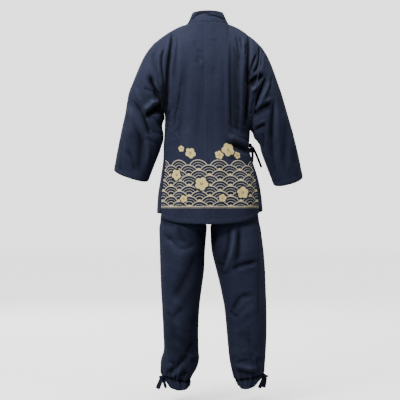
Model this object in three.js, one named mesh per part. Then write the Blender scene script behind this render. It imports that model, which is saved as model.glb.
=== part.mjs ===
// A samue, the two-piece Japanese work wear of a wrapped jacket and trousers, as it hangs
// when worn, with nobody in it. Millimetres, +Z up. The front faces -Y and the wearer's
// left is +X. The origin lies between the shoulders, level with the foot of the neck.
import * as THREE from "three";

const CLOTH = 1.6; // wall of one layer of cotton
const BAND = 2.4; // wall of the folded collar and waistband
const SEAM = 0.3; // gap between two pieces sewn together
const RADIANS = Math.PI / 180;

const { lerp, clamp, smoothstep } = THREE.MathUtils;
const point = (x, y, z) => new THREE.Vector3(x, y, z);

const navy = { color: 0x2e3750, roughness: 0.88, metalness: 0 };
const darkNavy = { color: 0x171c2b, roughness: 0.85, metalness: 0 };

// ---------------------------------------------------------------- tables and curves

// All the columns of a table at one place, joined by a smooth curve through its rows.
function tableAt(table, key, place) {
  const last = table.length - 1;
  const rising = table[last][key] > table[0][key] ? 1 : -1;
  let i = 0;
  while (i < last - 1 && (place - table[i + 1][key]) * rising > 0) i += 1;
  const at = clamp((place - table[i][key]) / (table[i + 1][key] - table[i][key]), 0, 1);
  const found = {};
  for (const column of Object.keys(table[0])) {
    const value = (k) => table[clamp(k, 0, last)][column];
    const slope = (k) => {
      const span = table[clamp(k + 1, 0, last)][key] - table[clamp(k - 1, 0, last)][key];
      return ((value(k + 1) - value(k - 1)) / span) * (table[i + 1][key] - table[i][key]);
    };
    const [a, b, t2, t3] = [value(i), value(i + 1), at * at, at * at * at];
    found[column] =
      (2 * t3 - 3 * t2 + 1) * a +
      (t3 - 2 * t2 + at) * slope(i) +
      (3 * t2 - 2 * t3) * b +
      (t3 - t2) * slope(i + 1);
  }
  return found;
}

// A power that keeps its sign: below 1 it squares a round section a little.
const bend = (value, power) => Math.sign(value) * Math.abs(value) ** power;

// Folds are soft troughs and ridges. Each runs on a straight line across the wearer's
// width (x) and height (z), fades out at both ends, and rises or sinks by `rise`.
function foldRise(folds, x, z) {
  let sum = 0;
  for (const fold of folds) {
    const [dx, dz] = [fold.x1 - fold.x0, fold.z1 - fold.z0];
    const length = Math.hypot(dx, dz);
    const along = ((x - fold.x0) * dx + (z - fold.z0) * dz) / (length * length);
    const across = ((x - fold.x0) * dz - (z - fold.z0) * dx) / length;
    const fade = smoothstep(along, -0.2, 0.25) * (1 - smoothstep(along, 0.75, 1.2));
    sum += fold.rise * fade * Math.exp(-((across / fold.width) ** 2));
  }
  return sum;
}

// ---------------------------------------------------------------- walls of cloth

// A wall of cloth through a grid of outer points, closed at its edges. `wrap` joins the
// last column to the first. `rim(normal, i, j)` may turn the normal where seams meet.
function clothWall(name, grid, { thickness = CLOTH, wrap = false, rim = null, look = navy }) {
  const [rows, columns] = [grid.length, grid[0].length];
  const outer = grid.flat();
  const index = (i, j) => j * columns + (wrap ? (i + columns) % columns : clamp(i, 0, columns - 1));
  const normals = outer.map(() => point(0, 0, 0));
  for (let j = 0; j < rows; j += 1) {
    for (let i = 0; i < columns; i += 1) {
      const across = outer[index(i + 1, j)].clone().sub(outer[index(i - 1, j)]);
      const up = outer[index(i, Math.min(j + 1, rows - 1))]
        .clone()
        .sub(outer[index(i, Math.max(j - 1, 0))]);
      const normal = across.cross(up).normalize();
      normals[index(i, j)] = (rim && rim(normal, i, j)) || normal;
    }
  }
  const inner = outer.map((p, k) => p.clone().addScaledVector(normals[k], -thickness));
  const faces = [];
  const quad = (a, b, c, d) => faces.push(a, b, c, a, c, d);
  const count = outer.length;
  const spans = wrap ? columns : columns - 1;
  for (let j = 0; j < rows - 1; j += 1) {
    for (let i = 0; i < spans; i += 1) {
      const [a, b] = [index(i, j), index(i + 1, j)];
      const [c, d] = [index(i + 1, j + 1), index(i, j + 1)];
      quad(a, b, c, d);
      quad(a + count, d + count, c + count, b + count);
    }
  }
  for (let i = 0; i < spans; i += 1) {
    const [a, b] = [index(i, 0), index(i + 1, 0)];
    quad(b, a, a + count, b + count);
    const [c, d] = [index(i, rows - 1), index(i + 1, rows - 1)];
    quad(c, d, d + count, c + count);
  }
  for (let j = 0; j < rows - 1 && !wrap; j += 1) {
    const [a, b] = [index(0, j), index(0, j + 1)];
    quad(a, b, b + count, a + count);
    const [c, d] = [index(columns - 1, j), index(columns - 1, j + 1)];
    quad(d, c, c + count, d + count);
  }
  const places = new Float32Array([...outer, ...inner].flatMap((p) => p.toArray()));
  const geometry = new THREE.BufferGeometry();
  geometry.setAttribute("position", new THREE.BufferAttribute(places, 3));
  geometry.setIndex(faces);
  geometry.computeVertexNormals();
  const mesh = new THREE.Mesh(geometry, new THREE.MeshStandardMaterial(look));
  mesh.name = name;
  return mesh;
}

// The grid that a wall is made from, with `place(u, v)` giving each outer point.
function gridOf(columns, rows, place, wrap = false) {
  return Array.from({ length: rows + 1 }, (_, j) =>
    Array.from({ length: wrap ? columns : columns + 1 }, (_, i) => place(i / columns, j / rows)),
  );
}

// ---------------------------------------------------------------- jacket: body

const BODY_Y = 4; // the body's middle, behind the shoulder line
const BODY_ROUND = 0.9; // below 1, the section is a little square
// Where the jacket's sides hang, and how far round from the centre back the side seam is.
const SIDES = [
  { z: -750, left: 193, right: -197, seam: 66 },
  { z: -690, left: 194, right: -197, seam: 66 },
  { z: -630, left: 190, right: -191, seam: 66 },
  { z: -570, left: 179, right: -178, seam: 68 },
  { z: -510, left: 169, right: -158, seam: 74 },
  { z: -470, left: 168, right: -147, seam: 80 },
  { z: -430, left: 167, right: -149, seam: 86 },
  { z: -355, left: 165, right: -153, seam: 90 },
];
// How far the cloth stands behind and before the body's middle on the centre line.
const CENTRE = [
  { z: -750, back: 130, front: 126 },
  { z: -650, back: 128, front: 124 },
  { z: -550, back: 117, front: 119 },
  { z: -450, back: 106, front: 114 },
  { z: -350, back: 106, front: 112 },
  { z: -250, back: 108, front: 112 },
  { z: -150, back: 100, front: 98 },
  { z: -70, back: 80, front: 70 },
  { z: -4, back: 55, front: 32 },
];
const HEM = {
  back: { middle: -747, left: -723, right: -706 },
  front: { middle: -713, left: -703, right: -690 },
  row: { middle: -728, left: -712, right: -697 }, // the grid's rows are spaced from here
};
const NECK = { x: 6, half: 76, sideY: 8, sideZ: -8, napeZ: -4 };
const ROWS_BELOW = 8; // rows of the body's grid below the armhole
const ROWS_ABOVE = 10; // and beside it, half the sleeve's columns

// Sleeve sections, armhole to cuff, by the arm's outer and inner outline from behind.
// `depth` is half the width front to back, and the back edge hangs lower by `dip`.
const SLEEVE_LEFT = [
  { outerX: 211, outerZ: -83, innerX: 165, innerZ: -355, depth: 76, y: 4, dip: 0 },
  { outerX: 237, outerZ: -118, innerX: 171, innerZ: -367, depth: 74, y: 5, dip: 0 },
  { outerX: 258, outerZ: -160, innerX: 176, innerZ: -379, depth: 72, y: 6, dip: 0 },
  { outerX: 279, outerZ: -211, innerX: 178, innerZ: -389, depth: 70, y: 7, dip: 0 },
  { outerX: 298, outerZ: -259, innerX: 179, innerZ: -399, depth: 68, y: 7, dip: 0 },
  { outerX: 306, outerZ: -298, innerX: 179, innerZ: -411, depth: 66, y: 6, dip: 1 },
  { outerX: 313, outerZ: -340, innerX: 178, innerZ: -426, depth: 64, y: 3, dip: 3 },
  { outerX: 324, outerZ: -386, innerX: 177, innerZ: -446, depth: 62, y: -3, dip: 6 },
  { outerX: 335, outerZ: -437, innerX: 185, innerZ: -479, depth: 61, y: -12, dip: 9 },
  { outerX: 346, outerZ: -488, innerX: 204, innerZ: -526, depth: 61, y: -22, dip: 12 },
  { outerX: 357, outerZ: -545, innerX: 228, innerZ: -586, depth: 62, y: -34, dip: 15 },
];
const SLEEVE_RIGHT = [
  { outerX: -194, outerZ: -92, innerX: -152, innerZ: -400, depth: 78, y: 4, dip: 0 },
  { outerX: -213, outerZ: -122, innerX: -157, innerZ: -407, depth: 76, y: 5, dip: 0 },
  { outerX: -232, outerZ: -164, innerX: -161, innerZ: -413, depth: 74, y: 6, dip: 0 },
  { outerX: -250, outerZ: -214, innerX: -163, innerZ: -419, depth: 71, y: 7, dip: 0 },
  { outerX: -267, outerZ: -263, innerX: -165, innerZ: -425, depth: 69, y: 7, dip: 0 },
  { outerX: -281, outerZ: -310, innerX: -169, innerZ: -433, depth: 66, y: 6, dip: 1 },
  { outerX: -295, outerZ: -357, innerX: -178, innerZ: -443, depth: 64, y: 3, dip: 3 },
  { outerX: -309, outerZ: -404, innerX: -187, innerZ: -457, depth: 63, y: -3, dip: 6 },
  { outerX: -324, outerZ: -459, innerX: -194, innerZ: -485, depth: 62, y: -12, dip: 10 },
  { outerX: -337, outerZ: -513, innerX: -211, innerZ: -530, depth: 62, y: -22, dip: 14 },
  { outerX: -349, outerZ: -570, innerX: -239, innerZ: -599, depth: 63, y: -34, dip: 18 },
];
const SLEEVE_COLUMNS = 2 * ROWS_ABOVE;

// A point of a sleeve section. Turn 0 is the outer edge, and a quarter turn is the back.
function sleeveRing(section, turn, power = 1) {
  const [out, back] = [bend(Math.cos(turn), power), bend(Math.sin(turn), power)];
  return point(
    (section.outerX + section.innerX) / 2 + ((section.outerX - section.innerX) / 2) * out,
    section.y + section.depth * back,
    (section.outerZ + section.innerZ) / 2 +
      ((section.outerZ - section.innerZ) / 2) * out -
      section.dip * back,
  );
}

const armpitHeight = (s) => {
  const [left, right] = [SLEEVE_LEFT[0].innerZ, SLEEVE_RIGHT[0].innerZ];
  return (left + right) / 2 + ((left - right) / 2) * s * Math.abs(s);
};

// The body below the armholes. s runs from the right side seam, -1, to the left one, 1.
function skirtPoint(face, s, share) {
  const lowOf = ({ middle, left, right }) =>
    lerp(middle, s > 0 ? left : right, Math.abs(s) ** 2.4);
  // Both faces share the heights of their rows at the side seam, all but the hem's.
  const rowAt = (part) => lerp(lowOf(HEM.row), armpitHeight(s), part);
  const first = 1 / ROWS_BELOW;
  const z = share < first ? lerp(lowOf(HEM[face]), rowAt(first), share / first) : rowAt(share);
  const side = tableAt(SIDES, "z", z);
  const { back, front } = tableAt(CENTRE, "z", z);
  const turn = s * RADIANS * (face === "back" ? side.seam : 180 - side.seam);
  const [over, ahead] = [bend(Math.sin(turn), BODY_ROUND), bend(Math.cos(turn), BODY_ROUND)];
  const middle = (side.left + side.right) / 2;
  const half = (side.left - side.right) / 2;
  const facing = face === "back" ? 1 : -1;
  const reach = face === "front" && ahead > 0 ? front : back;
  return point(middle + half * over, BODY_Y + facing * ahead * reach, z);
}

// The line that the neck and the shoulder seams follow, by its place across the wearer.
function shoulderLine(x, tip) {
  const out = Math.abs(x - NECK.x) / NECK.half;
  if (out < 1) {
    const { back } = tableAt(CENTRE, "z", NECK.napeZ);
    const y = lerp(NECK.sideY, BODY_Y + back, Math.sqrt(1 - out * out));
    return point(x, y, lerp(NECK.napeZ, NECK.sideZ, out * out));
  }
  const neckSide = NECK.x + Math.sign(x - NECK.x) * NECK.half;
  const along = clamp((x - neckSide) / (tip.x - neckSide), 0, 1);
  return point(x, lerp(NECK.sideY, tip.y, along), lerp(NECK.sideZ, tip.z, along ** 1.45));
}

// The body beside the armholes, up to the shoulder seams.
function yokePoint(face, s, share) {
  const armhole = s > 0 ? SLEEVE_LEFT[0] : SLEEVE_RIGHT[0];
  const facing = face === "back" ? 1 : -1;
  const edgeAt = (t) => sleeveRing(armhole, facing * Math.PI * (1 - t));
  const rowPoint = (t) => {
    const rise = (1 - Math.cos(Math.PI * t)) / 2;
    const z = lerp(armpitHeight(0), NECK.napeZ, rise);
    const reach = tableAt(CENTRE, "z", z)[face];
    const side = tableAt(SIDES, "z", armpitHeight(0));
    const centreX = lerp((side.left + side.right) / 2, NECK.x, rise);
    const edge = edgeAt(t);
    const turn = RADIANS * lerp(90, 54, smoothstep(t, 0, 0.4));
    const place = Math.abs(s);
    const over = (Math.sin(place * turn) / Math.sin(turn)) ** BODY_ROUND;
    const flat = Math.cos(turn) ** BODY_ROUND;
    const ahead = (Math.cos(place * turn) ** BODY_ROUND - flat) / (1 - flat);
    const centreY = BODY_Y + facing * reach;
    return point(
      lerp(centreX, edge.x, over),
      lerp(edge.y, centreY, ahead),
      lerp(z, edge.z, place * place),
    );
  };
  const found = rowPoint(share);
  const rise = (1 - Math.cos(Math.PI * share)) / 2;
  const top = clamp((rise - 0.7) / 0.3, 0, 1);
  const over = 1 - Math.sqrt(1 - top * top);
  const last = rowPoint(1);
  const target = shoulderLine(last.x, edgeAt(1));
  return found.addScaledVector(target.sub(last), over);
}

function bodyPoint(face, s, v) {
  const split = ROWS_BELOW / (ROWS_BELOW + ROWS_ABOVE);
  return v < split
    ? skirtPoint(face, s, v / split)
    : yokePoint(face, s, (v - split) / (1 - split));
}

// A point of the body, moved along its own normal by `out` and by what `rise(x, z)` says.
function bodyOffset(face, s, v, out) {
  const step = 0.004;
  const facing = face === "back" ? -1 : 1;
  const found = bodyPoint(face, s, v);
  const across = bodyPoint(face, Math.min(s + step, 1), v).sub(
    bodyPoint(face, Math.max(s - step, -1), v),
  );
  const up = bodyPoint(face, s, Math.min(v + step, 1)).sub(
    bodyPoint(face, s, Math.max(v - step, 0)),
  );
  const normal = across.cross(up).normalize().multiplyScalar(facing);
  return found.addScaledVector(normal, out);
}

const BACK_FOLDS = [
  // beside the left armhole
  { x0: 137, z0: -62, x1: 148, z1: -160, width: 9, rise: -9 },
  { x0: 148, z0: -130, x1: 156, z1: -300, width: 10, rise: -12 },
  { x0: 118, z0: -80, x1: 134, z1: -240, width: 12, rise: -5 },
  // beside the right armhole
  { x0: -142, z0: -70, x1: -138, z1: -220, width: 9, rise: -11 },
  { x0: -138, z0: -190, x1: -134, z1: -380, width: 11, rise: -12 },
  // the deep hanging fold on the right, its crest and the tuck where the tie holds it
  { x0: -100, z0: -120, x1: -104, z1: -405, width: 22, rise: -15 },
  { x0: -66, z0: -130, x1: -68, z1: -400, width: 11, rise: 6 },
  { x0: -78, z0: -418, x1: -140, z1: -446, width: 14, rise: 8 },
  { x0: -88, z0: -452, x1: -146, z1: -486, width: 15, rise: -7 },
  // long soft folds down the back
  { x0: 90, z0: -190, x1: 122, z1: -470, width: 17, rise: -6 },
  { x0: 62, z0: -170, x1: 82, z1: -520, width: 18, rise: 4 },
  { x0: 30, z0: -120, x1: 40, z1: -400, width: 15, rise: -4 },
  { x0: -34, z0: -180, x1: -30, z1: -500, width: 16, rise: 4 },
  { x0: 120, z0: -520, x1: 150, z1: -700, width: 18, rise: -5 },
  { x0: -130, z0: -560, x1: -150, z1: -690, width: 16, rise: 5 },
];
const FRONT_FOLDS = [
  { x0: 128, z0: -110, x1: 142, z1: -330, width: 12, rise: -10 },
  { x0: -126, z0: -120, x1: -132, z1: -370, width: 12, rise: -10 },
  { x0: 104, z0: -200, x1: 118, z1: -520, width: 18, rise: -6 },
  { x0: 70, z0: -260, x1: -40, z1: -420, width: 16, rise: 6 },
  { x0: 84, z0: -360, x1: -60, z1: -460, width: 15, rise: -6 },
  { x0: 110, z0: -500, x1: 128, z1: -690, width: 17, rise: 6 },
  { x0: 30, z0: -500, x1: 44, z1: -690, width: 18, rise: -5 },
  { x0: -112, z0: -200, x1: -108, z1: -340, width: 14, rise: 6 },
];

// Folds die out at the seams, where two thicknesses of cloth hold the edge.
const clearOfSeams = (s) => smoothstep(s, 0.02, 0.1) * (1 - smoothstep(s, 0.9, 0.985));
const clearOfEnds = (v) => smoothstep(v, 0, 0.04) * (1 - smoothstep(v, 0.93, 1));

// The way out of the cloth at a seam, the same for both of the pieces that meet there:
// on the shoulder and neck, round the armhole in the plane of its seam, and at the side.
function seamNormal(grid, face, side, sideColumn, wrapColumn) {
  const top = grid.length - 1;
  const facing = face === "back" ? 1 : -1;
  return (normal, i, j) => {
    const { x } = grid[j][i];
    if (j === top && Math.abs(x - NECK.x) < NECK.half) return neckNormal(x);
    if (j === top) {
      const [a, b] = [shoulderLine(x - 1, armholeTip(side)), shoulderLine(x + 1, armholeTip(side))];
      return point(a.z - b.z, 0, b.x - a.x).normalize();
    }
    if (i === wrapColumn) return wrapNormal(side, j / top);
    if (i !== sideColumn) return normal;
    const rise = (j - ROWS_BELOW) / ROWS_ABOVE;
    if (rise >= 0) return armholeNormal(side, facing * Math.PI * (1 - rise));
    const v = j / top;
    const back = bodyOffset("back", side * 0.97, v, 1).sub(bodyPoint("back", side * 0.97, v));
    const front = bodyOffset("front", side * 0.97, v, 1).sub(bodyPoint("front", side * 0.97, v));
    return back.add(front).normalize();
  };
}

const armholeTip = (side) => sleeveRing(side > 0 ? SLEEVE_LEFT[0] : SLEEVE_RIGHT[0], 0);

function neckNormal(x) {
  const { back } = tableAt(CENTRE, "z", NECK.napeZ);
  const across = clamp((x - NECK.x) / NECK.half, -1, 1);
  const depth = BODY_Y + back - NECK.sideY;
  return point(across / NECK.half, Math.sqrt(1 - across * across) / depth, 0).normalize();
}

function armholeNormal(side, turn) {
  const ring = side > 0 ? SLEEVE_LEFT[0] : SLEEVE_RIGHT[0];
  const middle = sleeveRing(ring, 0).add(sleeveRing(ring, Math.PI)).multiplyScalar(0.5);
  return sleeveRing(ring, turn).sub(middle).normalize();
}

function backPanel(name, side) {
  const edge = SEAM / 400;
  const grid = gridOf(10, ROWS_BELOW + ROWS_ABOVE, (u, v) => {
    // Columns run from the wearer's left to right, as seen from behind.
    const s = side > 0 ? lerp(1 - edge, edge, u) : lerp(-edge, -1 + edge, u);
    const { x, z } = bodyPoint("back", s, v);
    const lift = foldRise(BACK_FOLDS, x, z) * clearOfSeams(Math.abs(s)) * clearOfEnds(v);
    return bodyOffset("back", s, v, lift).add(point(0, v === 1 ? SEAM / 2 : 0, 0));
  });
  return clothWall(name, grid, { rim: seamNormal(grid, "back", side, side > 0 ? 0 : 10) });
}

// ---------------------------------------------------------------- jacket: wrapped fronts

const COLLAR_WIDTH = 48;
// The seam between each front and its collar, by height on the centre line.
const WRAP = [
  { z: -720, x: -84 },
  { z: -560, x: -82 },
  { z: -460, x: -76 },
  { z: -360, x: -44 },
  { z: -260, x: 0 },
  { z: -170, x: 36 },
  { z: -100, x: 58 },
  { z: -45, x: 73 },
  { z: -4, x: 82 },
];
// How far outside the body's surface each layer's outer side lies.
const LAYER = { rightFront: 0, rightCollar: 0.5, leftFront: 4.9, leftCollar: 5.9 };

// The place s on a row of the front that lies at a given place across the wearer.
function frontPlace(x, v) {
  let [low, high] = [-1, 1];
  for (let step = 0; step < 40; step += 1) {
    const middle = (low + high) / 2;
    if (bodyPoint("front", middle, v).x < x) low = middle;
    else high = middle;
  }
  return (low + high) / 2;
}

// The wrap line of one front: the left one as in the table, the right one its mirror.
function wrapPlace(side, v, beyond = 0) {
  const { z } = bodyPoint("front", 0, v);
  const x = tableAt(WRAP, "z", clamp(z, -720, -4)).x - beyond;
  return frontPlace(side > 0 ? x : 2 * NECK.x - x, v);
}

function wrapNormal(side, v) {
  const s = wrapPlace(side, v);
  return bodyOffset("front", s, v, 1).sub(bodyPoint("front", s, v)).normalize();
}

// The left front stands off by its layer where the right collar is under it.
function leftLift(x, z) {
  const under = 2 * NECK.x - tableAt(WRAP, "z", clamp(z, -720, -4)).x + COLLAR_WIDTH + 14;
  const room = lerp(36, 60, smoothstep(z, -400, -200));
  return LAYER.leftFront * (1 - smoothstep(x, under - 2, under + room));
}

function frontPanel(name, side) {
  const edge = SEAM / 500;
  const grid = gridOf(14, ROWS_BELOW + ROWS_ABOVE, (u, v) => {
    const rim = wrapPlace(side, v) + side * edge;
    const s = side > 0 ? lerp(rim, 1 - edge, u) : lerp(-1 + edge, rim, u);
    const { x, z } = bodyPoint("front", s, v);
    const layer = side > 0 ? leftLift(x, z) : LAYER.rightFront;
    const free = side > 0 ? 1 - u : u;
    const calm = clearOfSeams(Math.abs(s) * 0.9 + 0.1 * free) * clearOfEnds(v);
    const lift = side > 0 || x < -60 ? foldRise(FRONT_FOLDS, x, z) * calm : 0;
    const sunk = side > 0 ? Math.max(lift, -1) * 0.9 : Math.min(lift, 0) * smoothstep(-x, 60, 100);
    const held = side > 0 && x < 128 ? sunk : Math.min(lift, sunk);
    return bodyOffset("front", s, v, layer + held).add(point(0, v === 1 ? -SEAM / 2 : 0, 0));
  });
  return clothWall(name, grid, { rim: seamNormal(grid, "front", side, ...(side > 0 ? [14, 0] : [0, 14])) });
}

// ---------------------------------------------------------------- jacket: collar

const COLLAR_STANDS = { left: 0.72, right: 0.82 }; // share of the front's height it lies flat

// The share v of a face's height at which its column s reaches a given height.
function heightShare(face, s, z) {
  let [low, high] = [0, 1];
  for (let step = 0; step < 26; step += 1) {
    const middle = (low + high) / 2;
    if (bodyPoint(face, s, middle).z < z) low = middle;
    else high = middle;
  }
  return (low + high) / 2;
}

// The point of the front's surface at a given place and height, moved out by `out`.
function frontAt(x, z, out) {
  let [s, v] = [0, 0.5];
  for (let turn = 0; turn < 5; turn += 1) {
    s = frontPlace(x, v);
    v = heightShare("front", s, z);
  }
  return bodyOffset("front", s, v, out);
}

// The collar's foot and the way it rises from it, up one front and round the neck. Where
// it lies on the chest it follows the front's surface.
function collarStations() {
  const [rows, neckSteps] = [ROWS_BELOW + ROWS_ABOVE, 12];
  const standing = (x) => {
    const across = clamp((x - NECK.x) / NECK.half, -1, 1);
    const behind = Math.sqrt(1 - across * across);
    return point(-0.42 * across, -0.36 * behind, 0.9).normalize();
  };
  const onFront = (side) => {
    const outAt = (v) =>
      side > 0
        ? lerp(LAYER.leftCollar, LAYER.rightCollar, smoothstep(v, 0.82, 1))
        : LAYER.rightCollar;
    const footAt = (v) =>
      bodyOffset(
        "front",
        wrapPlace(side, v) - (side * SEAM) / lerp(400, 150, v),
        v,
        outAt(v),
      ).add(point(0, 0, 3 * SEAM * smoothstep(v, 0.95, 1)));
    return Array.from({ length: rows + 1 }, (_, k) => {
      const v = k / rows;
      const foot = footAt(v);
      const along = footAt(Math.min(v + 0.01, 1)).sub(footAt(Math.max(v - 0.01, 0)));
      const lies = 1 - smoothstep(v, side > 0 ? COLLAR_STANDS.left : COLLAR_STANDS.right, 1);
      const flat = point(-side * along.z, 0, side * along.x).normalize();
      const up = standing(foot.x);
      return (w) => {
        const onChest = foot.clone().addScaledVector(flat, w);
        if (lies > 0) onChest.copy(frontAt(onChest.x, onChest.z, outAt(v)));
        const stood = foot.clone().addScaledVector(up, w);
        const mixed = stood.lerp(onChest, w === 0 ? 0 : lies);
        return foot.clone().addScaledVector(mixed.sub(foot).normalize(), w);
      };
    });
  };
  const behind = Array.from({ length: neckSteps - 1 }, (_, k) => {
    const x = NECK.x + NECK.half * Math.cos((Math.PI * (k + 1)) / neckSteps);
    const rise = SEAM * (1.7 + 2 * ((x - NECK.x) / NECK.half) ** 8);
    const foot = shoulderLine(x, armholeTip(1)).add(point(0, 0, rise));
    const up = standing(x);
    return (w) => foot.clone().addScaledVector(up, w);
  });
  return [...onFront(1), ...behind, ...onFront(-1).reverse()];
}

function collar() {
  const stations = collarStations();
  const across = 3;
  const grid = Array.from({ length: across + 1 }, (_, j) =>
    stations.map((station) => station((COLLAR_WIDTH * j) / across)),
  );
  const rows = ROWS_BELOW + ROWS_ABOVE;
  const rim = (normal, i, j) => {
    if (j > 0) return normal;
    if (i < rows) return wrapNormal(1, i / rows);
    if (i >= stations.length - rows) return wrapNormal(-1, (stations.length - 1 - i) / rows);
    return neckNormal(grid[0][i].x);
  };
  return clothWall("collar", grid, { thickness: BAND, rim });
}

// ---------------------------------------------------------------- jacket: sleeves

const SLEEVE_FOLDS_LEFT = [
  { x0: 167, z0: -110, x1: 171, z1: -235, width: 10, rise: -8 },
  { x0: 209, z0: -118, x1: 192, z1: -215, width: 12, rise: -6 },
  { x0: 220, z0: -205, x1: 186, z1: -300, width: 13, rise: -11 },
  { x0: 228, z0: -356, x1: 180, z1: -324, width: 14, rise: -17 },
  { x0: 236, z0: -330, x1: 200, z1: -296, width: 13, rise: 7 },
  { x0: 280, z0: -300, x1: 206, z1: -420, width: 14, rise: -8 },
  { x0: 298, z0: -320, x1: 236, z1: -430, width: 15, rise: 5 },
  { x0: 300, z0: -380, x1: 330, z1: -530, width: 15, rise: 5 },
  { x0: 252, z0: -430, x1: 274, z1: -550, width: 18, rise: -5 },
];
const SLEEVE_FOLDS_RIGHT = [
  { x0: -182, z0: -105, x1: -177, z1: -185, width: 10, rise: -7 },
  { x0: -181, z0: -170, x1: -150, z1: -275, width: 11, rise: -13 },
  { x0: -196, z0: -215, x1: -158, z1: -335, width: 12, rise: -10 },
  { x0: -204, z0: -250, x1: -172, z1: -330, width: 10, rise: 6 },
  { x0: -226, z0: -312, x1: -160, z1: -354, width: 12, rise: -10 },
  { x0: -202, z0: -380, x1: -170, z1: -398, width: 11, rise: -8 },
  { x0: -233, z0: -300, x1: -224, z1: -500, width: 13, rise: -8 },
  { x0: -282, z0: -380, x1: -268, z1: -530, width: 15, rise: -6 },
  { x0: -256, z0: -340, x1: -248, z1: -520, width: 14, rise: 5 },
];

function sleeve(name, sections, folds) {
  const side = Math.sign(sections[0].outerX);
  const table = sections.map((section, k) => ({ ...section, at: k / (sections.length - 1) }));
  const rows = 14;
  const armhole = sections[0];
  const outward = point(armhole.innerZ - armhole.outerZ, 0, armhole.outerX - armhole.innerX);
  outward.normalize().multiplyScalar(outward.x * side > 0 ? 1 : -1);
  const surface = (turn, v) => {
    const section = tableAt(table, "at", v);
    return sleeveRing(section, turn, lerp(1, 0.88, smoothstep(v, 0, 0.3)));
  };
  const grid = gridOf(
    SLEEVE_COLUMNS,
    rows,
    (u, v) => {
      // The columns go round the other way on the right, so that the faces point outwards.
      const turn = -side * 2 * Math.PI * u;
      const found = surface(turn, v);
      const step = 0.01;
      const across = surface(turn - side * step, v).sub(surface(turn + side * step, v));
      const down = surface(turn, Math.min(v + step, 1)).sub(surface(turn, Math.max(v - step, 0)));
      const normal = across.cross(down).normalize();
      const round = Math.abs(Math.sin(turn));
      // The folds at the back are repeated at the front, a little higher and shallower.
      const atFront = Math.sin(turn) < 0;
      const lift = foldRise(folds, found.x, atFront ? found.z - 22 : found.z);
      const calm = smoothstep(round, 0.15, 0.6) * smoothstep(v, 0, 0.08) * (1 - smoothstep(v, 0.94, 1));
      return found
        .addScaledVector(normal, lift * calm * (atFront ? 0.8 : 1))
        .addScaledVector(outward, v === 0 ? SEAM : 0);
    },
    true,
  );
  const rim = (normal, i, j) =>
    j === 0 ? armholeNormal(side, (-side * 2 * Math.PI * i) / SLEEVE_COLUMNS) : normal;
  return clothWall(name, grid, { wrap: true, rim });
}

// ---------------------------------------------------------------- trousers

// Leg sections from the hem up, by the leg's outer and inner outline from behind. Above
// the crotch the section grows past the centre plane, where the two legs are sewn.
// `back` and `front` are from the leg's middle, `dip` lowers the back edge and `tilt`
// raises the outer one. `gather` is the depth of the gathers.
const LEG_LEFT = [
  { z: -1336, outer: 158, inner: 70, back: 60, front: 62, y: -2, dip: 22, tilt: 4, gather: 2 },
  { z: -1327, outer: 166, inner: 70, back: 58, front: 60, y: -2, dip: 10, tilt: 5, gather: 3 },
  { z: -1317, outer: 174, inner: 70, back: 55, front: 57, y: -2, dip: 4, tilt: 5, gather: 4.5 },
  { z: -1303, outer: 180, inner: 62, back: 60, front: 61, y: -1, dip: 3, tilt: 4, gather: 4 },
  { z: -1280, outer: 181, inner: 47, back: 68, front: 67, y: 0, dip: 2, tilt: 2, gather: 2 },
  { z: -1250, outer: 179, inner: 38, back: 73, front: 71, y: 0, dip: 0, tilt: 0, gather: 0 },
  { z: -1215, outer: 169, inner: 40, back: 75, front: 73, y: 0, dip: 0, tilt: 0, gather: 0 },
  { z: -1147, outer: 172, inner: 41, back: 79, front: 76, y: 0, dip: 0, tilt: 0, gather: 0 },
  { z: -1058, outer: 176, inner: 37, back: 84, front: 82, y: 0, dip: 0, tilt: 0, gather: 0 },
  { z: -992, outer: 179, inner: 29, back: 88, front: 88, y: 1, dip: 0, tilt: 0, gather: 0 },
  { z: -925, outer: 182, inner: 20, back: 95, front: 93, y: 2, dip: 0, tilt: 0, gather: 0 },
  { z: -844, outer: 185, inner: 16, back: 105, front: 99, y: 3, dip: 0, tilt: 0, gather: 0 },
  { z: -760, outer: 186, inner: 9, back: 103, front: 96, y: 4, dip: 0, tilt: 0, gather: 0 },
  { z: -708, outer: 182, inner: 6, back: 103.5, front: 93, y: 4, dip: 0, tilt: 0, gather: 0 },
  { z: -650, outer: 171, inner: -70, back: 101.5, front: 92, y: 4, dip: 0, tilt: 0, gather: 0 },
  { z: -590, outer: 158, inner: -138, back: 96, front: 90, y: 4, dip: 0, tilt: 0, gather: 0 },
  { z: -500, outer: 144, inner: -132, back: 90, front: 88, y: 4, dip: 0, tilt: 0, gather: 0 },
  { z: -430, outer: 134, inner: -123, back: 86, front: 88, y: 4, dip: 0, tilt: 0, gather: 2 },
  { z: -392, outer: 131, inner: -120, back: 83, front: 85, y: 4, dip: 0, tilt: 0, gather: 3 },
];
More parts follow.
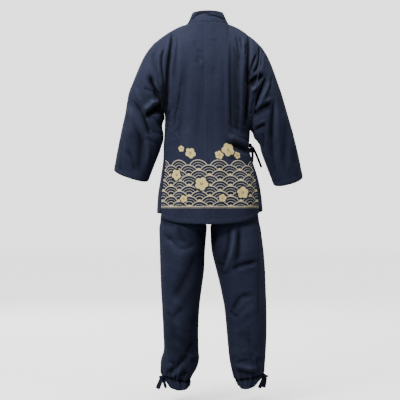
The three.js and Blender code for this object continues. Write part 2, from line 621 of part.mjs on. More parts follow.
const LEG_RIGHT = [
  { z: -1336, outer: -176, inner: -106, back: 60, front: 62, y: -4, dip: 17, tilt: 6, gather: 2 },
  { z: -1327, outer: -190, inner: -100, back: 58, front: 60, y: -4, dip: 10, tilt: 6, gather: 3 },
  { z: -1315, outer: -202, inner: -92, back: 56, front: 58, y: -4, dip: 4, tilt: 4, gather: 4.5 },
  { z: -1302, outer: -205, inner: -86, back: 61, front: 61, y: -3, dip: 3, tilt: 2, gather: 4 },
  { z: -1280, outer: -206, inner: -80, back: 68, front: 66, y: -2, dip: 2, tilt: 0, gather: 2 },
  { z: -1250, outer: -208, inner: -74, back: 73, front: 71, y: -1, dip: 0, tilt: 0, gather: 0 },
  { z: -1215, outer: -210, inner: -70, back: 76, front: 74, y: 0, dip: 0, tilt: 0, gather: 0 },
  { z: -1147, outer: -213, inner: -64, back: 80, front: 78, y: 0, dip: 0, tilt: 0, gather: 0 },
  { z: -1058, outer: -213, inner: -55, back: 85, front: 83, y: 0, dip: 0, tilt: 0, gather: 0 },
  { z: -992, outer: -210, inner: -43, back: 89, front: 88, y: 1, dip: 0, tilt: 0, gather: 0 },
  { z: -925, outer: -207, inner: -27, back: 96, front: 93, y: 2, dip: 0, tilt: 0, gather: 0 },
  { z: -844, outer: -201, inner: -8, back: 106, front: 99, y: 3, dip: 0, tilt: 0, gather: 0 },
  { z: -760, outer: -190, inner: -3, back: 103, front: 96, y: 4, dip: 0, tilt: 0, gather: 0 },
  { z: -708, outer: -183, inner: -1, back: 100, front: 93, y: 4, dip: 0, tilt: 0, gather: 0 },
  { z: -650, outer: -168, inner: 76, back: 98, front: 92, y: 4, dip: 0, tilt: 0, gather: 0 },
  { z: -590, outer: -150, inner: 148, back: 96, front: 90, y: 4, dip: 0, tilt: 0, gather: 0 },
  { z: -500, outer: -133, inner: 143, back: 90, front: 88, y: 4, dip: 0, tilt: 0, gather: 0 },
  { z: -430, outer: -123, inner: 134, back: 86, front: 88, y: 4, dip: 0, tilt: 0, gather: 2 },
  { z: -392, outer: -120, inner: 131, back: 83, front: 85, y: 4, dip: 0, tilt: 0, gather: 3 },
];
const TROUSER_MIDDLE = 3; // the centre plane, where the legs are sewn together
const OUTSEAM = 62; // degrees round from the back to the outer seam
const GATHERS = 9; // gathers round each hem
const LEG_ROUND = 0.94;

const LEG_FOLDS_BACK = [
  // left
  { x0: 166, z0: -790, x1: 50, z1: -822, width: 14, rise: -5 },
  { x0: 40, z0: -850, x1: 128, z1: -1040, width: 20, rise: -8 },
  { x0: 44, z0: -980, x1: 136, z1: -1100, width: 17, rise: -7 },
  { x0: 60, z0: -930, x1: 140, z1: -1060, width: 15, rise: 4 },
  { x0: 48, z0: -1240, x1: 108, z1: -1300, width: 11, rise: -7 },
  { x0: 74, z0: -1215, x1: 146, z1: -1292, width: 12, rise: -7 },
  { x0: 172, z0: -1222, x1: 150, z1: -1276, width: 11, rise: 6 },
  { x0: 140, z0: -1150, x1: 60, z1: -1210, width: 16, rise: -4 },
  // right
  { x0: -88, z0: -765, x1: -78, z1: -905, width: 13, rise: 6 },
  { x0: -108, z0: -770, x1: -104, z1: -890, width: 13, rise: -5 },
  { x0: -172, z0: -884, x1: -90, z1: -910, width: 12, rise: -6 },
  { x0: -156, z0: -1005, x1: -84, z1: -1060, width: 14, rise: -7 },
  { x0: -160, z0: -1050, x1: -100, z1: -1096, width: 15, rise: 4 },
  { x0: -94, z0: -1262, x1: -170, z1: -1280, width: 11, rise: 5 },
  { x0: -92, z0: -1288, x1: -166, z1: -1300, width: 9, rise: -5 },
  { x0: -100, z0: -1140, x1: -180, z1: -1210, width: 16, rise: -4 },
];
const LEG_FOLDS_FRONT = [
  { x0: 170, z0: -800, x1: 60, z1: -850, width: 15, rise: -6 },
  { x0: 46, z0: -900, x1: 150, z1: -1010, width: 18, rise: -7 },
  { x0: 60, z0: -1060, x1: 160, z1: -1090, width: 16, rise: 6 },
  { x0: 60, z0: -1180, x1: 150, z1: -1240, width: 14, rise: -7 },
  { x0: 70, z0: -1250, x1: 150, z1: -1282, width: 12, rise: 6 },
  { x0: -170, z0: -800, x1: -40, z1: -850, width: 15, rise: -6 },
  { x0: -50, z0: -920, x1: -180, z1: -1000, width: 18, rise: -7 },
  { x0: -80, z0: -1060, x1: -190, z1: -1090, width: 16, rise: 6 },
  { x0: -90, z0: -1180, x1: -180, z1: -1240, width: 14, rise: -7 },
  { x0: -95, z0: -1250, x1: -180, z1: -1280, width: 12, rise: 6 },
];

// A point of a leg or of the hips. Turn 0 is the back and a quarter turn the outer side.
function legPoint(side, table, turn, z) {
  const section = tableAt(table, "z", z);
  const middle = (section.outer + section.inner) / 2;
  const half = Math.abs(section.outer - section.inner) / 2;
  const [out, ahead] = [bend(Math.sin(turn), LEG_ROUND), bend(Math.cos(turn), LEG_ROUND)];
  const depth = ahead > 0 ? section.back : section.front;
  const wave = section.gather * Math.cos(GATHERS * turn) * smoothstep(Math.abs(ahead), 0, 0.4);
  return point(
    middle + side * (half + wave * 0.5) * out,
    section.y + (depth + wave) * ahead,
    z - section.dip * ahead + section.tilt * out,
  );
}

const LEG_ROWS = [
  0, 0.012, 0.024, 0.042, 0.068, 0.1, 0.145, 0.2, 0.26, 0.33, 0.4, 0.47, 0.54, 0.61, 0.665, 0.7,
  0.76, 0.84, 0.92, 1,
];

function trouserPanel(name, side, table, face) {
  const [low, high] = [table[0].z, table[table.length - 1].z - SEAM];
  const back = face === "back";
  const columns = 12;
  const seamNormals = [];
  const grid = LEG_ROWS.map((share) => {
    const z = lerp(low, high, share);
    const section = tableAt(table, "z", z);
    const middle = (section.outer + section.inner) / 2;
    const half = Math.abs(section.outer - section.inner) / 2;
    const reach = (side * (middle - TROUSER_MIDDLE) - SEAM / 2) / half;
    // Where the section is cut: at the inseam, or by the centre plane above the crotch.
    const cut = Math.asin(bend(clamp(reach, -1, 1), 1 / LEG_ROUND));
    const gap = reach >= 1 ? SEAM / 2 / section.back : 0;
    const inner = back ? -cut + gap : Math.PI + cut - gap;
    const outer = RADIANS * OUTSEAM + (back ? -1 : 1) * (SEAM / 2 / half);
    const row = Array.from({ length: columns + 1 }, (_, i) => {
      const u = i / columns;
      const turn = lerp(inner, outer, u);
      const found = legPoint(side, table, turn, z);
      const step = 0.01;
      const across = legPoint(side, table, turn + step, z).sub(
        legPoint(side, table, turn - step, z),
      );
      const up = legPoint(side, table, turn, z + 1).sub(legPoint(side, table, turn, z - 1));
      const normal = across.cross(up).normalize().multiplyScalar(-side);
      if (i === 0 && reach < 1) normal.setX(0).normalize();
      if (i === 0 || i === columns) seamNormals.push(normal);
      const folds = back ? LEG_FOLDS_BACK : LEG_FOLDS_FRONT;
      const calm = smoothstep(u, 0, 0.14) * (1 - smoothstep(u, 0.86, 1));
      const lift = foldRise(folds, found.x, found.z) * calm;
      return found.clone().addScaledVector(normal, lift);
    });
    return (side > 0) === back ? row.reverse() : row;
  });
  const turned = (side > 0) === back;
  const rim = (normal, i, j) => {
    if (i === 0 || i === columns) return seamNormals[2 * j + ((i === 0) === turned ? 1 : 0)];
    return normal;
  };
  return clothWall(name, grid, { rim });
}

function waistband() {
  const [low, high] = [-392, -356];
  const grid = gridOf(
    36,
    2,
    (u, v) => {
      const turn = -2 * Math.PI * u;
      const side = Math.sin(turn) >= 0 ? 1 : -1;
      const table = side > 0 ? LEG_LEFT : LEG_RIGHT;
      const section = table[table.length - 1];
      const flat = { ...section, gather: 0 };
      const found = legPoint(side, [flat, { ...flat, z: low + 100 }], Math.abs(turnBack(turn)), low);
      return point(found.x, found.y, lerp(low, high, v));
    },
    true,
  );
  return clothWall("waistband", grid, { thickness: BAND, wrap: true });
}

// A turn brought to between minus and plus half a circle.
const turnBack = (turn) => Math.atan2(Math.sin(turn), Math.cos(turn));

// ---------------------------------------------------------------- ties

// A flat strap of cloth along a list of places, its width lying along `across`.
function strap(name, places, across, width, thickness = 2) {
  const line = new THREE.CatmullRomCurve3(places.map((p) => point(...p)));
  const steps = 3 * (places.length - 1);
  const spread = point(...across).normalize();
  const ringOf = (at) => {
    const [centre, way] = [line.getPointAt(at), line.getTangentAt(at)];
    const flat = spread.clone().addScaledVector(way, -spread.dot(way)).normalize();
    const thin = way.clone().cross(flat);
    return [
      [-1, -1],
      [1, -1],
      [1, 1],
      [-1, 1],
    ].map(([a, b]) =>
      centre
        .clone()
        .addScaledVector(flat, (a * width) / 2)
        .addScaledVector(thin, (b * thickness) / 2),
    );
  };
  const rings = Array.from({ length: steps + 1 }, (_, k) => ringOf(k / steps));
  const faces = [0, 2, 1, 0, 3, 2];
  for (let k = 0; k < steps; k += 1) {
    for (let c = 0; c < 4; c += 1) {
      const [a, b] = [4 * k + c, 4 * k + ((c + 1) % 4)];
      faces.push(a, b, b + 4, a, b + 4, a + 4);
    }
  }
  const end = 4 * steps;
  faces.push(end, end + 1, end + 2, end, end + 2, end + 3);
  const positions = new Float32Array(rings.flat().flatMap((p) => p.toArray()));
  const geometry = new THREE.BufferGeometry();
  geometry.setAttribute("position", new THREE.BufferAttribute(positions, 3));
  geometry.setIndex(faces);
  geometry.computeVertexNormals();
  const mesh = new THREE.Mesh(geometry, new THREE.MeshStandardMaterial(darkNavy));
  mesh.name = name;
  return mesh;
}

// A knot: a small lump, flattened against the cloth.
function knot(name, place, size) {
  const mesh = new THREE.Mesh(
    new THREE.SphereGeometry(1, 10, 7),
    new THREE.MeshStandardMaterial(darkNavy),
  );
  mesh.name = name;
  mesh.scale.set(...size);
  mesh.position.set(...place);
  return mesh;
}

// Places given from a knot's middle, by steps outwards, sideways and up.
function fromKnot(middle, out, sideways, steps) {
  return steps.map(([o, w, up]) =>
    middle
      .clone()
      .addScaledVector(out, o)
      .addScaledVector(sideways, w)
      .add(point(0, 0, up))
      .toArray(),
  );
}

// A strap laid round the right hip from the collar's edge to the bow, and another from the
// side seam, with the bow between them. Its loops and one end hang close to the body.
function sideTie() {
  const { height, bowAt, collarEdge } = SIDE_TIE;
  const onHip = (s, z, out) => bodyOffset("front", s, heightShare("front", s, z), out);
  const hipPath = (from, to, lift) =>
    [0, 0.33, 0.67, 1].map((k) => {
      const out = lerp(lift, 2.9, smoothstep(k, 0, 0.6));
      return onHip(lerp(from, to, k), height, out).toArray();
    });
  const middle = onHip(bowAt, height, 9.2);
  const out = middle.clone().sub(onHip(bowAt, height, 0)).setZ(0).normalize();
  const back = point(-out.y, out.x, 0).multiplyScalar(-1);
  const place = (steps) => fromKnot(middle, out, back, steps);
  const flat = [0, 0, 1];
  const edgeOn = back.toArray();
  const faceOn = out.toArray();
  return [
    knot("side_tie_knot", middle.toArray(), [7, 8, 9]),
    strap("side_tie_from_front", hipPath(collarEdge, bowAt + 0.0275, 4.7), flat, 11),
    strap("side_tie_from_seam", hipPath(-0.985, bowAt - 0.03, 2.9), flat, 11),
    strap(
      "side_tie_loop_back",
      place([
        [0, 3.4, -9.3],
        [0.5, 8, -11],
        [1, 14, -15],
        [2, 16, -23],
        [2, 12, -27],
        [1, 7, -22],
        [0, 3.6, -13],
      ]),
      faceOn,
      8,
      1.6,
    ),
    strap(
      "side_tie_loop_front",
      place([
        [0, -3.4, -9.3],
        [0.5, -8, -11],
        [1, -14, -14],
        [2, -17, -21],
        [2, -13, -26],
        [1, -8, -21],
        [0, -3.6, -13],
      ]),
      faceOn,
      8,
      1.6,
    ),
    strap(
      "side_tie_end_back",
      place([
        [7.9, 0.6, -3],
        [15, 3, -18],
        [24, 6, -38],
        [42, 7, -82],
      ]),
      edgeOn,
      10,
      1.6,
    ),
    strap(
      "side_tie_end_front",
      place([
        [3.5, -9.1, 1],
        [11, -12, -9],
        [14, -16, -32],
        [13, -19, -62],
      ]),
      faceOn,
      10,
      1.6,
    ),
  ];
}

// The bow at an ankle: a knot on the cord's casing, a stub beside it and two hanging ends.
function ankleTie(name, side, table, { turn, height, lift, stubX, ends }) {
  const on = legPoint(side, table, turn * RADIANS, height);
  const section = tableAt(table, "z", height);
  const out = on.clone().setX(on.x - (section.outer + section.inner) / 2).setZ(0).normalize();
  const middle = on.clone().addScaledVector(out, lift);
  const pieces = [knot(`${name}_knot`, middle.toArray(), [6, 6, 7])];
  const from = middle.clone().add(point(side * 6.4, 0, 0));
  const to = middle.clone().setX(stubX);
  const stub = [from, from.clone().lerp(to, 0.5), to].map((p) => p.toArray());
  pieces.push(strap(`${name}_stub`, stub, [0, 0, 1], 8));
  for (const [k, end] of ends.entries()) {
    const start = middle.clone().add(point(end.fromX, end.fromY, -7.3));
    const tip = point(end.x, middle.y + end.fromY + end.back, end.z);
    const half = start.clone().lerp(tip, 0.5).add(point(0, end.back / 2, 0));
    const path = [start, half, tip].map((p) => p.toArray());
    const way = tip.clone().sub(start);
    pieces.push(strap(`${name}_end_${k + 1}`, path, [-way.z, 0, way.x], end.width));
  }
  return pieces;
}

const SIDE_TIE = { height: -455, bowAt: -0.8, collarEdge: -0.57 };
const ANKLE_LEFT = {
  turn: 62,
  height: -1315,
  lift: 6.9,
  stubX: 187,
  ends: [
    { fromX: 2, fromY: 1.8, x: 192, z: -1356, back: 2, width: 13 },
    { fromX: -2.4, fromY: -1.4, x: 161, z: -1354, back: 2, width: 10 },
  ],
};
const ANKLE_RIGHT = {
  turn: 68,
  height: -1312,
  lift: 5.2,
  stubX: -217,
  ends: [
    { fromX: 2, fromY: 1.8, x: -184, z: -1354, back: 2, width: 12 },
    { fromX: -2.4, fromY: -1.4, x: -201, z: -1353, back: 0, width: 12 },
  ],
};

// ---------------------------------------------------------------- the whole set

const jacket = new THREE.Group();
jacket.add(
  backPanel("jacket_back_left", 1),
  backPanel("jacket_back_right", -1),
  frontPanel("jacket_front_left", 1),
  frontPanel("jacket_front_right", -1),
  collar(),
  sleeve("sleeve_left", SLEEVE_LEFT, SLEEVE_FOLDS_LEFT),
  sleeve("sleeve_right", SLEEVE_RIGHT, SLEEVE_FOLDS_RIGHT),
  ...sideTie(),
);

const trousers = new THREE.Group();
trousers.add(
  trouserPanel("trouser_back_left", 1, LEG_LEFT, "back"),
  trouserPanel("trouser_front_left", 1, LEG_LEFT, "front"),
  trouserPanel("trouser_back_right", -1, LEG_RIGHT, "back"),
  trouserPanel("trouser_front_right", -1, LEG_RIGHT, "front"),
  waistband(),
  ...ankleTie("ankle_tie_left", 1, LEG_LEFT, ANKLE_LEFT),
  ...ankleTie("ankle_tie_right", -1, LEG_RIGHT, ANKLE_RIGHT),
);

const samue = new THREE.Group();
samue.add(jacket, trousers);

export default samue;
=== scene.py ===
import math
from functools import partial

import bpy
import numpy as np
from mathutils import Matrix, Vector


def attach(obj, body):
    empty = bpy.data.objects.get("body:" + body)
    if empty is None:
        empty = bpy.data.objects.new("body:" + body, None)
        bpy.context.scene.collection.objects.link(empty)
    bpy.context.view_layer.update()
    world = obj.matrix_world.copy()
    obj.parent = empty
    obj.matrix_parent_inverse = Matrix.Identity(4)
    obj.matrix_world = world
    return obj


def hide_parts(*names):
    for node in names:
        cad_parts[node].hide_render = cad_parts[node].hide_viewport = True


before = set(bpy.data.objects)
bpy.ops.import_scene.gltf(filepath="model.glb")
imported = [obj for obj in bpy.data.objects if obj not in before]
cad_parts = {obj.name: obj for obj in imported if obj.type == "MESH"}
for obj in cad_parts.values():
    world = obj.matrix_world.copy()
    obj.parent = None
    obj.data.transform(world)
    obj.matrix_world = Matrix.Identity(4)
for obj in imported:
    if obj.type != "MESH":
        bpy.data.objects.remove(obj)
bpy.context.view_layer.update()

# A samue, jacket and trousers of navy cotton, hanging as worn. Sizes are in millimetres and
# become metres as each mesh is made. The front faces -Y and the wearer's left is +X.
mm = 0.001


def ramp(low, high, place):  # 0 below, 1 above, a smooth rise between
    at = np.clip((place - low) / (high - low), 0, 1)
    return at * at * (3 - 2 * at)


def bell(place, width):  # 1 at 0, fading out past the width
    return np.exp(-((place / width) ** 2))


def mix(a, b, share):  # a at 0, b at 1
    return a + (b - a) * share


def powered(value, power):
    return np.sign(value) * np.abs(value) ** power


def ovalArc(turn, power):  # sine and cosine, squared off a little
    return powered(np.sin(turn), power), powered(np.cos(turn), power)


def curveAt(place, knots, values):  # a smooth line through a table's column
    knots, values = np.asarray(knots, float), np.asarray(values, float)
    if knots[0] > knots[-1]:
        knots, values = knots[::-1], values[::-1]
    last = len(knots) - 1
    i = np.clip(np.searchsorted(knots, place) - 1, 0, last - 1)
    at = np.clip((place - knots[i]) / (knots[i + 1] - knots[i]), 0, 1)

    def slope(k):
        low, high = np.clip(k - 1, 0, last), np.clip(k + 1, 0, last)
        run = (values[high] - values[low]) / (knots[high] - knots[low])
        return run * (knots[i + 1] - knots[i])

    two, three = at ** 2, at ** 3
    return (
        (2 * three - 3 * two + 1) * values[i]
        + (three - 2 * two + at) * slope(i)
        + (3 * two - 2 * three) * values[i + 1]
        + (three - two) * slope(i + 1)
    )


def softNoise(u, v, size, seed):  # smooth bumps between -1 and 1, about `size` apart
    cells = 61
    lattice = np.random.default_rng(seed).uniform(-1, 1, (cells, cells))
    a, b = u / size + 500, v / size + 500
    i, j = np.floor(a).astype(int), np.floor(b).astype(int)
    f, g = ramp(0, 1, a - i), ramp(0, 1, b - j)
    i0, i1, j0, j1 = i % cells, (i + 1) % cells, j % cells, (j + 1) % cells
    low = mix(lattice[i0, j0], lattice[i1, j0], f)
    high = mix(lattice[i0, j1], lattice[i1, j1], f)
    return mix(low, high, g)


def lineNoise(along, size, seed):
    return softNoise(along, 0 * along, size, seed)


def unit(vectors):
    return vectors / np.maximum(np.linalg.norm(vectors, axis=-1, keepdims=True), 1e-9)


def stack(*parts):
    return np.stack(np.broadcast_arrays(*parts), axis=-1).astype(float)


def halving(low, high, passes, isShort):  # closes in on the place where isShort ends
    for _ in range(passes):
        middle = (low + high) / 2
        short = isShort(middle)
        low, high = np.where(short, middle, low), np.where(short, high, middle)
    return (low + high) / 2


def foldRelief(folds, x, z):  # each fold: from x, z, to x, z, half-width, rise
    total = np.zeros(np.broadcast(x, z).shape)
    for x0, z0, x1, z1, width, rise in folds:
        length = math.hypot(x1 - x0, z1 - z0)
        along = ((x - x0) * (x1 - x0) + (z - z0) * (z1 - z0)) / length ** 2
        across = ((x - x0) * (z1 - z0) - (z - z0) * (x1 - x0)) / length
        fade = ramp(-0.2, 0.25, along) * (1 - ramp(0.75, 1.2, along))
        total += rise * fade * bell(across, width)
    return total


def creaseRelief(creases, x, z, soft=1.0):
    # each crease: half-width at either end, rise, then the x, z of its line.
    # A trough has a keen bottom, and a ridge is round.
    total = np.zeros(np.broadcast(x, z).shape)
    for startWidth, endWidth, rise, *line in creases:
        points = np.array(line, float).reshape(-1, 2)
        steps = np.hypot(*np.diff(points, axis=0).T)
        places = np.concatenate([[0], np.cumsum(steps)]) / steps.sum()
        at = np.linspace(0, 1, 3 * len(points) - 2)
        path = np.stack([curveAt(at, places, points[:, k]) for k in (0, 1)], 1)
        nearest, place = np.full(total.shape, 1e9), np.zeros(total.shape)
        for k in range(len(path) - 1):
            (x0, z0), (runX, runZ) = path[k], path[k + 1] - path[k]
            share = ((x - x0) * runX + (z - z0) * runZ) / (runX ** 2 + runZ ** 2)
            share = np.clip(share, 0, 1)
            away = np.hypot(x - x0 - share * runX, z - z0 - share * runZ)
            closer = away < nearest
            nearest = np.where(closer, away, nearest)
            place = np.where(closer, mix(at[k], at[k + 1], share), place)
        fade = ramp(-0.08, 0.2, place) * (1 - ramp(0.8, 1.08, place))
        width = mix(startWidth, endWidth, place) * soft
        keen = 1.3 if rise < 0 else 2
        total += rise * fade * np.exp(-((nearest / width) ** keen))
    return total


def strewFolds(seed, count, area, heading, spread, length, width, rise):
    # uneven small creases over an area (left, right, low, high) of the flat cloth
    dice = np.random.default_rng(seed)
    folds = []
    for _ in range(count):
        angle = math.radians(heading + spread * dice.normal() * 0.6)
        half = dice.uniform(*length) / 2
        u, v = dice.uniform(area[0], area[1]), dice.uniform(area[2], area[3])
        du, dv = half * math.cos(angle), half * math.sin(angle)
        sign = 1 if dice.random() < 0.45 else -1
        size = dice.uniform(*width), sign * dice.uniform(*rise)
        folds.append((u - du, v - dv, u + du, v + dv, *size))
    return folds


cloth = {
    "spacing": 3.4,  # between points
    "thickness": 1.3,
    "seamDepth": 1.3,
    "seamWidth": 1.9,
    "allowance": 11,  # turned to one side behind a seam, and just felt through it
    "allowanceRise": 0.4,
    "pucker": 0.28,
    "seamWear": 0.55,
    "hemDepth": 17,
    "hemRise": 0.55,  # of a hem's second layer
    "hemGroove": 0.55,  # along its row of stitches
    "hemRipple": 0.3,
    "hemWear": 0.5,
    "edgeDrop": 0.9,  # of the rounded edge
    # its ripples, broad to fine: stretch along the cloth, size, share
    "ripples": [(0.7, 85, 1.1), (0.6, 34, 0.5), (0.8, 13, 0.16)],
    "turned": (1.6, 4.0),  # how deep a sewn edge turns in
    "smoothing": 14,  # passes that tell a hollow from a ridge
    "sharpAngle": 70,
}


class Panel:
    # a grid of points for one piece of cloth, with its flat lengths and its reliefs
    def __init__(self, points, facing=1, wrap=False):
        self.base, self.wrap, self.facing = points, wrap, facing
        if wrap:
            around = np.roll(points, -1, 1) - np.roll(points, 1, 1)
            steps = np.linalg.norm(np.roll(points, -1, 1) - points, axis=2)
        else:
            around = np.gradient(points, axis=1)
            steps = np.linalg.norm(points[:, 1:] - points[:, :-1], axis=2)
        self.normal = unit(np.cross(around, np.gradient(points, axis=0))) * facing
        self.u = np.concatenate([np.zeros((len(points), 1)), np.cumsum(steps, 1)], 1)
        self.girth = self.u[:, -1:]
        self.u = self.u[:, : points.shape[1]]
        rises = np.linalg.norm(points[1:] - points[:-1], axis=2)
        self.v = np.concatenate([np.zeros((1, points.shape[1])), np.cumsum(rises, 0)], 0)
        self.height = self.v[-1:]
        self.x, self.y, self.z = points[..., 0], points[..., 1], points[..., 2]
        # dark holds shade painted into the colour, and painted light where it is below 0
        self.relief, self.wear, self.dark = (np.zeros(self.x.shape) for _ in range(3))

    def ease(self, row, reach, passes=60):  # softens the base form about a row of points
        rows = np.arange(len(self.base))[:, None]
        share = bell(rows - row, reach) * ramp(0, 45, self.u) * ramp(0, 45, self.girth - self.u)
        for _ in range(passes):
            tall = np.pad(self.base, ((1, 1), (0, 0), (0, 0)), mode="edge")
            even = (tall[:-2] + tall[2:]) / 2
            self.base = self.base + (even - self.base) * 0.5 * share[..., None]
        around = np.gradient(self.base, axis=1)
        self.normal = unit(np.cross(around, np.gradient(self.base, axis=0))) * self.facing

    def edge(self, name):  # distance from it
        return {
            "left": self.u,
            "right": self.girth - self.u,
            "bottom": self.v,
            "top": self.height - self.v,
        }[name]

    def calm(self, *names, reach=9):  # 0 at these edges, 1 away from them
        share = np.ones(self.x.shape)
        for name in names:
            share = share * ramp(0, reach, self.edge(name))
        return share

    def quiet(self):  # the same for the broad folds of the jacket's body
        reaches = {"left": 14, "right": 16, "top": 26}
        return math.prod(self.calm(name, reach=reach) for name, reach in reaches.items())

    def seam(self, name, allowance=True, seed=1, depth=None):
        away = self.edge(name)
        depth = cloth["seamDepth"] if depth is None else depth
        along = self.v if name in ("left", "right") else self.u
        self.relief -= depth * bell(away, cloth["seamWidth"])
        if allowance:
            width = cloth["allowance"] + 1.5 * lineNoise(along, 60, seed)
            self.relief += cloth["allowanceRise"] * (1 - ramp(-1.2, 1.2, away - width))
        pucker = lineNoise(along, 9, seed + 7) * np.exp(-away / 7)
        self.relief += cloth["pucker"] * pucker
        self.wear = np.maximum(self.wear, cloth["seamWear"] * bell(away - 3, 2.2))

    def hem(self, name="bottom", depth=None, seed=3):
        depth = depth or cloth["hemDepth"]
        away = self.edge(name)
        along = self.v if name in ("left", "right") else self.u
        self.relief += cloth["hemRise"] * (1 - ramp(-0.8, 0.8, away - depth))
        self.relief -= cloth["hemGroove"] * bell(away - depth, 1.6)
        self.relief -= cloth["edgeDrop"] * bell(away, 1.2)
        ripple = softNoise(along, away * 0.4, 13, seed) * ramp(0, 6, away)
        self.relief += cloth["hemRipple"] * ripple * (1 - ramp(depth, depth + 10, away))
        self.wear = np.maximum(self.wear, bell(away, 1.6))
        self.wear = np.maximum(self.wear, cloth["hemWear"] * bell(away - depth, 1.5))

    def ripple(self, amount, seed, calm=1):  # the cloth is never quite smooth
        total = 0
        for k, (stretch, size, share) in enumerate(cloth["ripples"]):
            total = total + share * softNoise(self.u, self.v * stretch, size, seed + k)
        self.relief += amount * total * calm

    @property
    def points(self):
        return self.base + self.normal * self.relief[..., None]

    def lineAt(self, name, away, out=0.12):  # points on the cloth at a distance from an edge
        points = self.points + self.normal * out
        distance = self.edge(name)
        if name in ("left", "right"):
            points, distance = points.transpose(1, 0, 2), distance.T
        found = []
        for j in range(points.shape[1]):
            order = np.argsort(distance[:, j])
            spot = [np.interp(away, distance[order, j], points[order, j, k]) for k in range(3)]
            found.append(spot)
        return np.array(found)

    def hollowsWithPaintedShade(self):  # below 0 in a crease, above on a ridge
        mode = "wrap" if self.wrap else "edge"
        smooth = self.relief
        for _ in range(cloth["smoothing"]):
            wide = np.pad(smooth, ((0, 0), (1, 1)), mode=mode)
            smooth = (wide[:, :-2] + 2 * wide[:, 1:-1] + wide[:, 2:]) / 4
            tall = np.pad(smooth, ((1, 1), (0, 0)), mode="edge")
            smooth = (tall[:-2] + 2 * tall[1:-1] + tall[2:]) / 4
        # painted shade from self.dark deepens the hollows, and painted light lifts them
        return self.relief - smooth - self.dark

    def flatSize(self):  # the cut's width and length in metres, with its true area
        width = float(self.girth.max()) * mm
        length = float(self.height.max()) * mm
        p = self.base
        if self.wrap:
            p = np.concatenate([p, p[:, :1]], 1)
        a, b = p[1:, 1:] - p[:-1, :-1], p[1:, :-1] - p[:-1, 1:]
        area = float(np.linalg.norm(np.cross(a, b), axis=2).sum() / 2) * 1e-6
        return (width, length), min(area, width * length)


def turnIn(panel, points, values, edges):
    # past a sewn edge the cloth turns inwards, so that no light comes through the seam
    whole, first, last = slice(None), slice(0, 1), slice(-1, None)
    spots = {
        "left": ((whole, first), 1, True),
        "right": ((whole, last), 1, False),
        "bottom": ((first, whole), 0, True),
        "top": ((last, whole), 0, False),
    }
    for name in edges:
        spot, axis, before = spots[name]

        def grow(old, added):
            return np.concatenate([added, old] if before else [old, added], axis)

        for depth in cloth["turned"]:
            points = grow(points, points[spot] - panel.normal[spot] * depth)
            panel.normal = grow(panel.normal, panel.normal[spot])
            values = [grow(value, value[spot]) for value in values]
    return points, values


def gridQuads(rows, columns, wrap=False):
    index = np.arange(rows * columns).reshape(rows, columns)
    left, right = (index, np.roll(index, -1, 1)) if wrap else (index[:, :-1], index[:, 1:])
    return np.stack([left[:-1], right[:-1], right[1:], left[1:]], -1).reshape(-1, 4)


def addObject(name, data):
    thing = bpy.data.objects.new(name, data)
    bpy.context.scene.collection.objects.link(thing)
    return thing


def clothMesh(name, points, faces, flat, corners, values, material):
    mesh = bpy.data.meshes.new(name)
    mesh.from_pydata((points.reshape(-1, 3) * mm).tolist(), [], faces)
    layer = mesh.uv_layers.new(name="cloth")
    layer.data.foreach_set("uv", (flat.reshape(-1, 2)[corners] * mm).ravel())
    for key, value in zip(("wear", "relief", "crease"), values):
        mesh.attributes.new(key, "FLOAT", "POINT").data.foreach_set("value", value.ravel())
    mesh.shade_smooth()
    mesh.materials.append(material)
    return mesh


def declare(piece, nodes, slot, flat, area, held="draped", restsOn=()):
    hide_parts(*nodes)
    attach(piece, "root")


def sewPanel(
    name, panel, material, slot, held="draped", restsOn=(), uv=None, thickness=None, sewn=(), tuck=0
):
    # the last of these, kept as the crease attribute, also carries the painted shade and light
    values = [stack(panel.u, panel.v) if uv is None else uv, panel.wear, panel.relief, panel.hollowsWithPaintedShade()]
    points, normals = panel.points, panel.normal
    if tuck:  # the foot of a band runs on under what it is sewn to
        down = unit(points[:1] - points[1:2]) * tuck - panel.normal[:1] * cloth["turned"][0]
        points = np.concatenate([points[:1] + down, points])
        values = [np.concatenate([value[:1], value]) for value in values]
        panel.normal = np.concatenate([panel.normal[:1], panel.normal])
    points, (flat, *values) = turnIn(panel, points, values, sewn)
    panel.normal = normals
    rows, columns = points.shape[:2]
    quads = corners = gridQuads(rows, columns, panel.wrap)
    if panel.wrap:  # the flat cloth has both edges of the seam that the tube has once
        flat = np.concatenate([flat, flat[:, -1:] + (flat[:, -1:] - flat[:, -2:-1])], 1)
        corners = gridQuads(rows, columns + 1)
    if panel.facing < 0:
        quads, corners = quads[:, ::-1], corners[:, ::-1]
    mesh = clothMesh(name, points, quads.tolist(), flat, corners.reshape(-1), values, material)
    mesh.set_sharp_from_angle(angle=math.radians(cloth["sharpAngle"]))
    piece = addObject(name + "_cloth", mesh)
    shell = piece.modifiers.new("thickness", "SOLIDIFY")
    shell.thickness = (thickness or cloth["thickness"]) * mm
    shell.offset = -1
    shell.use_even_offset = False
    declare(piece, [name], slot, *panel.flatSize(), held, restsOn)


def addNode(tree, kind, inputs=None, **settings):
    # an input takes a number, a colour or another node's output
    node = tree.nodes.new(kind)
    for key, value in settings.items():
        setattr(node, key, value)
    for key, value in (inputs or {}).items():
        if hasattr(value, "is_output"):
            tree.links.new(value, node.inputs[key])
        else:
            node.inputs[key].default_value = value
    return node


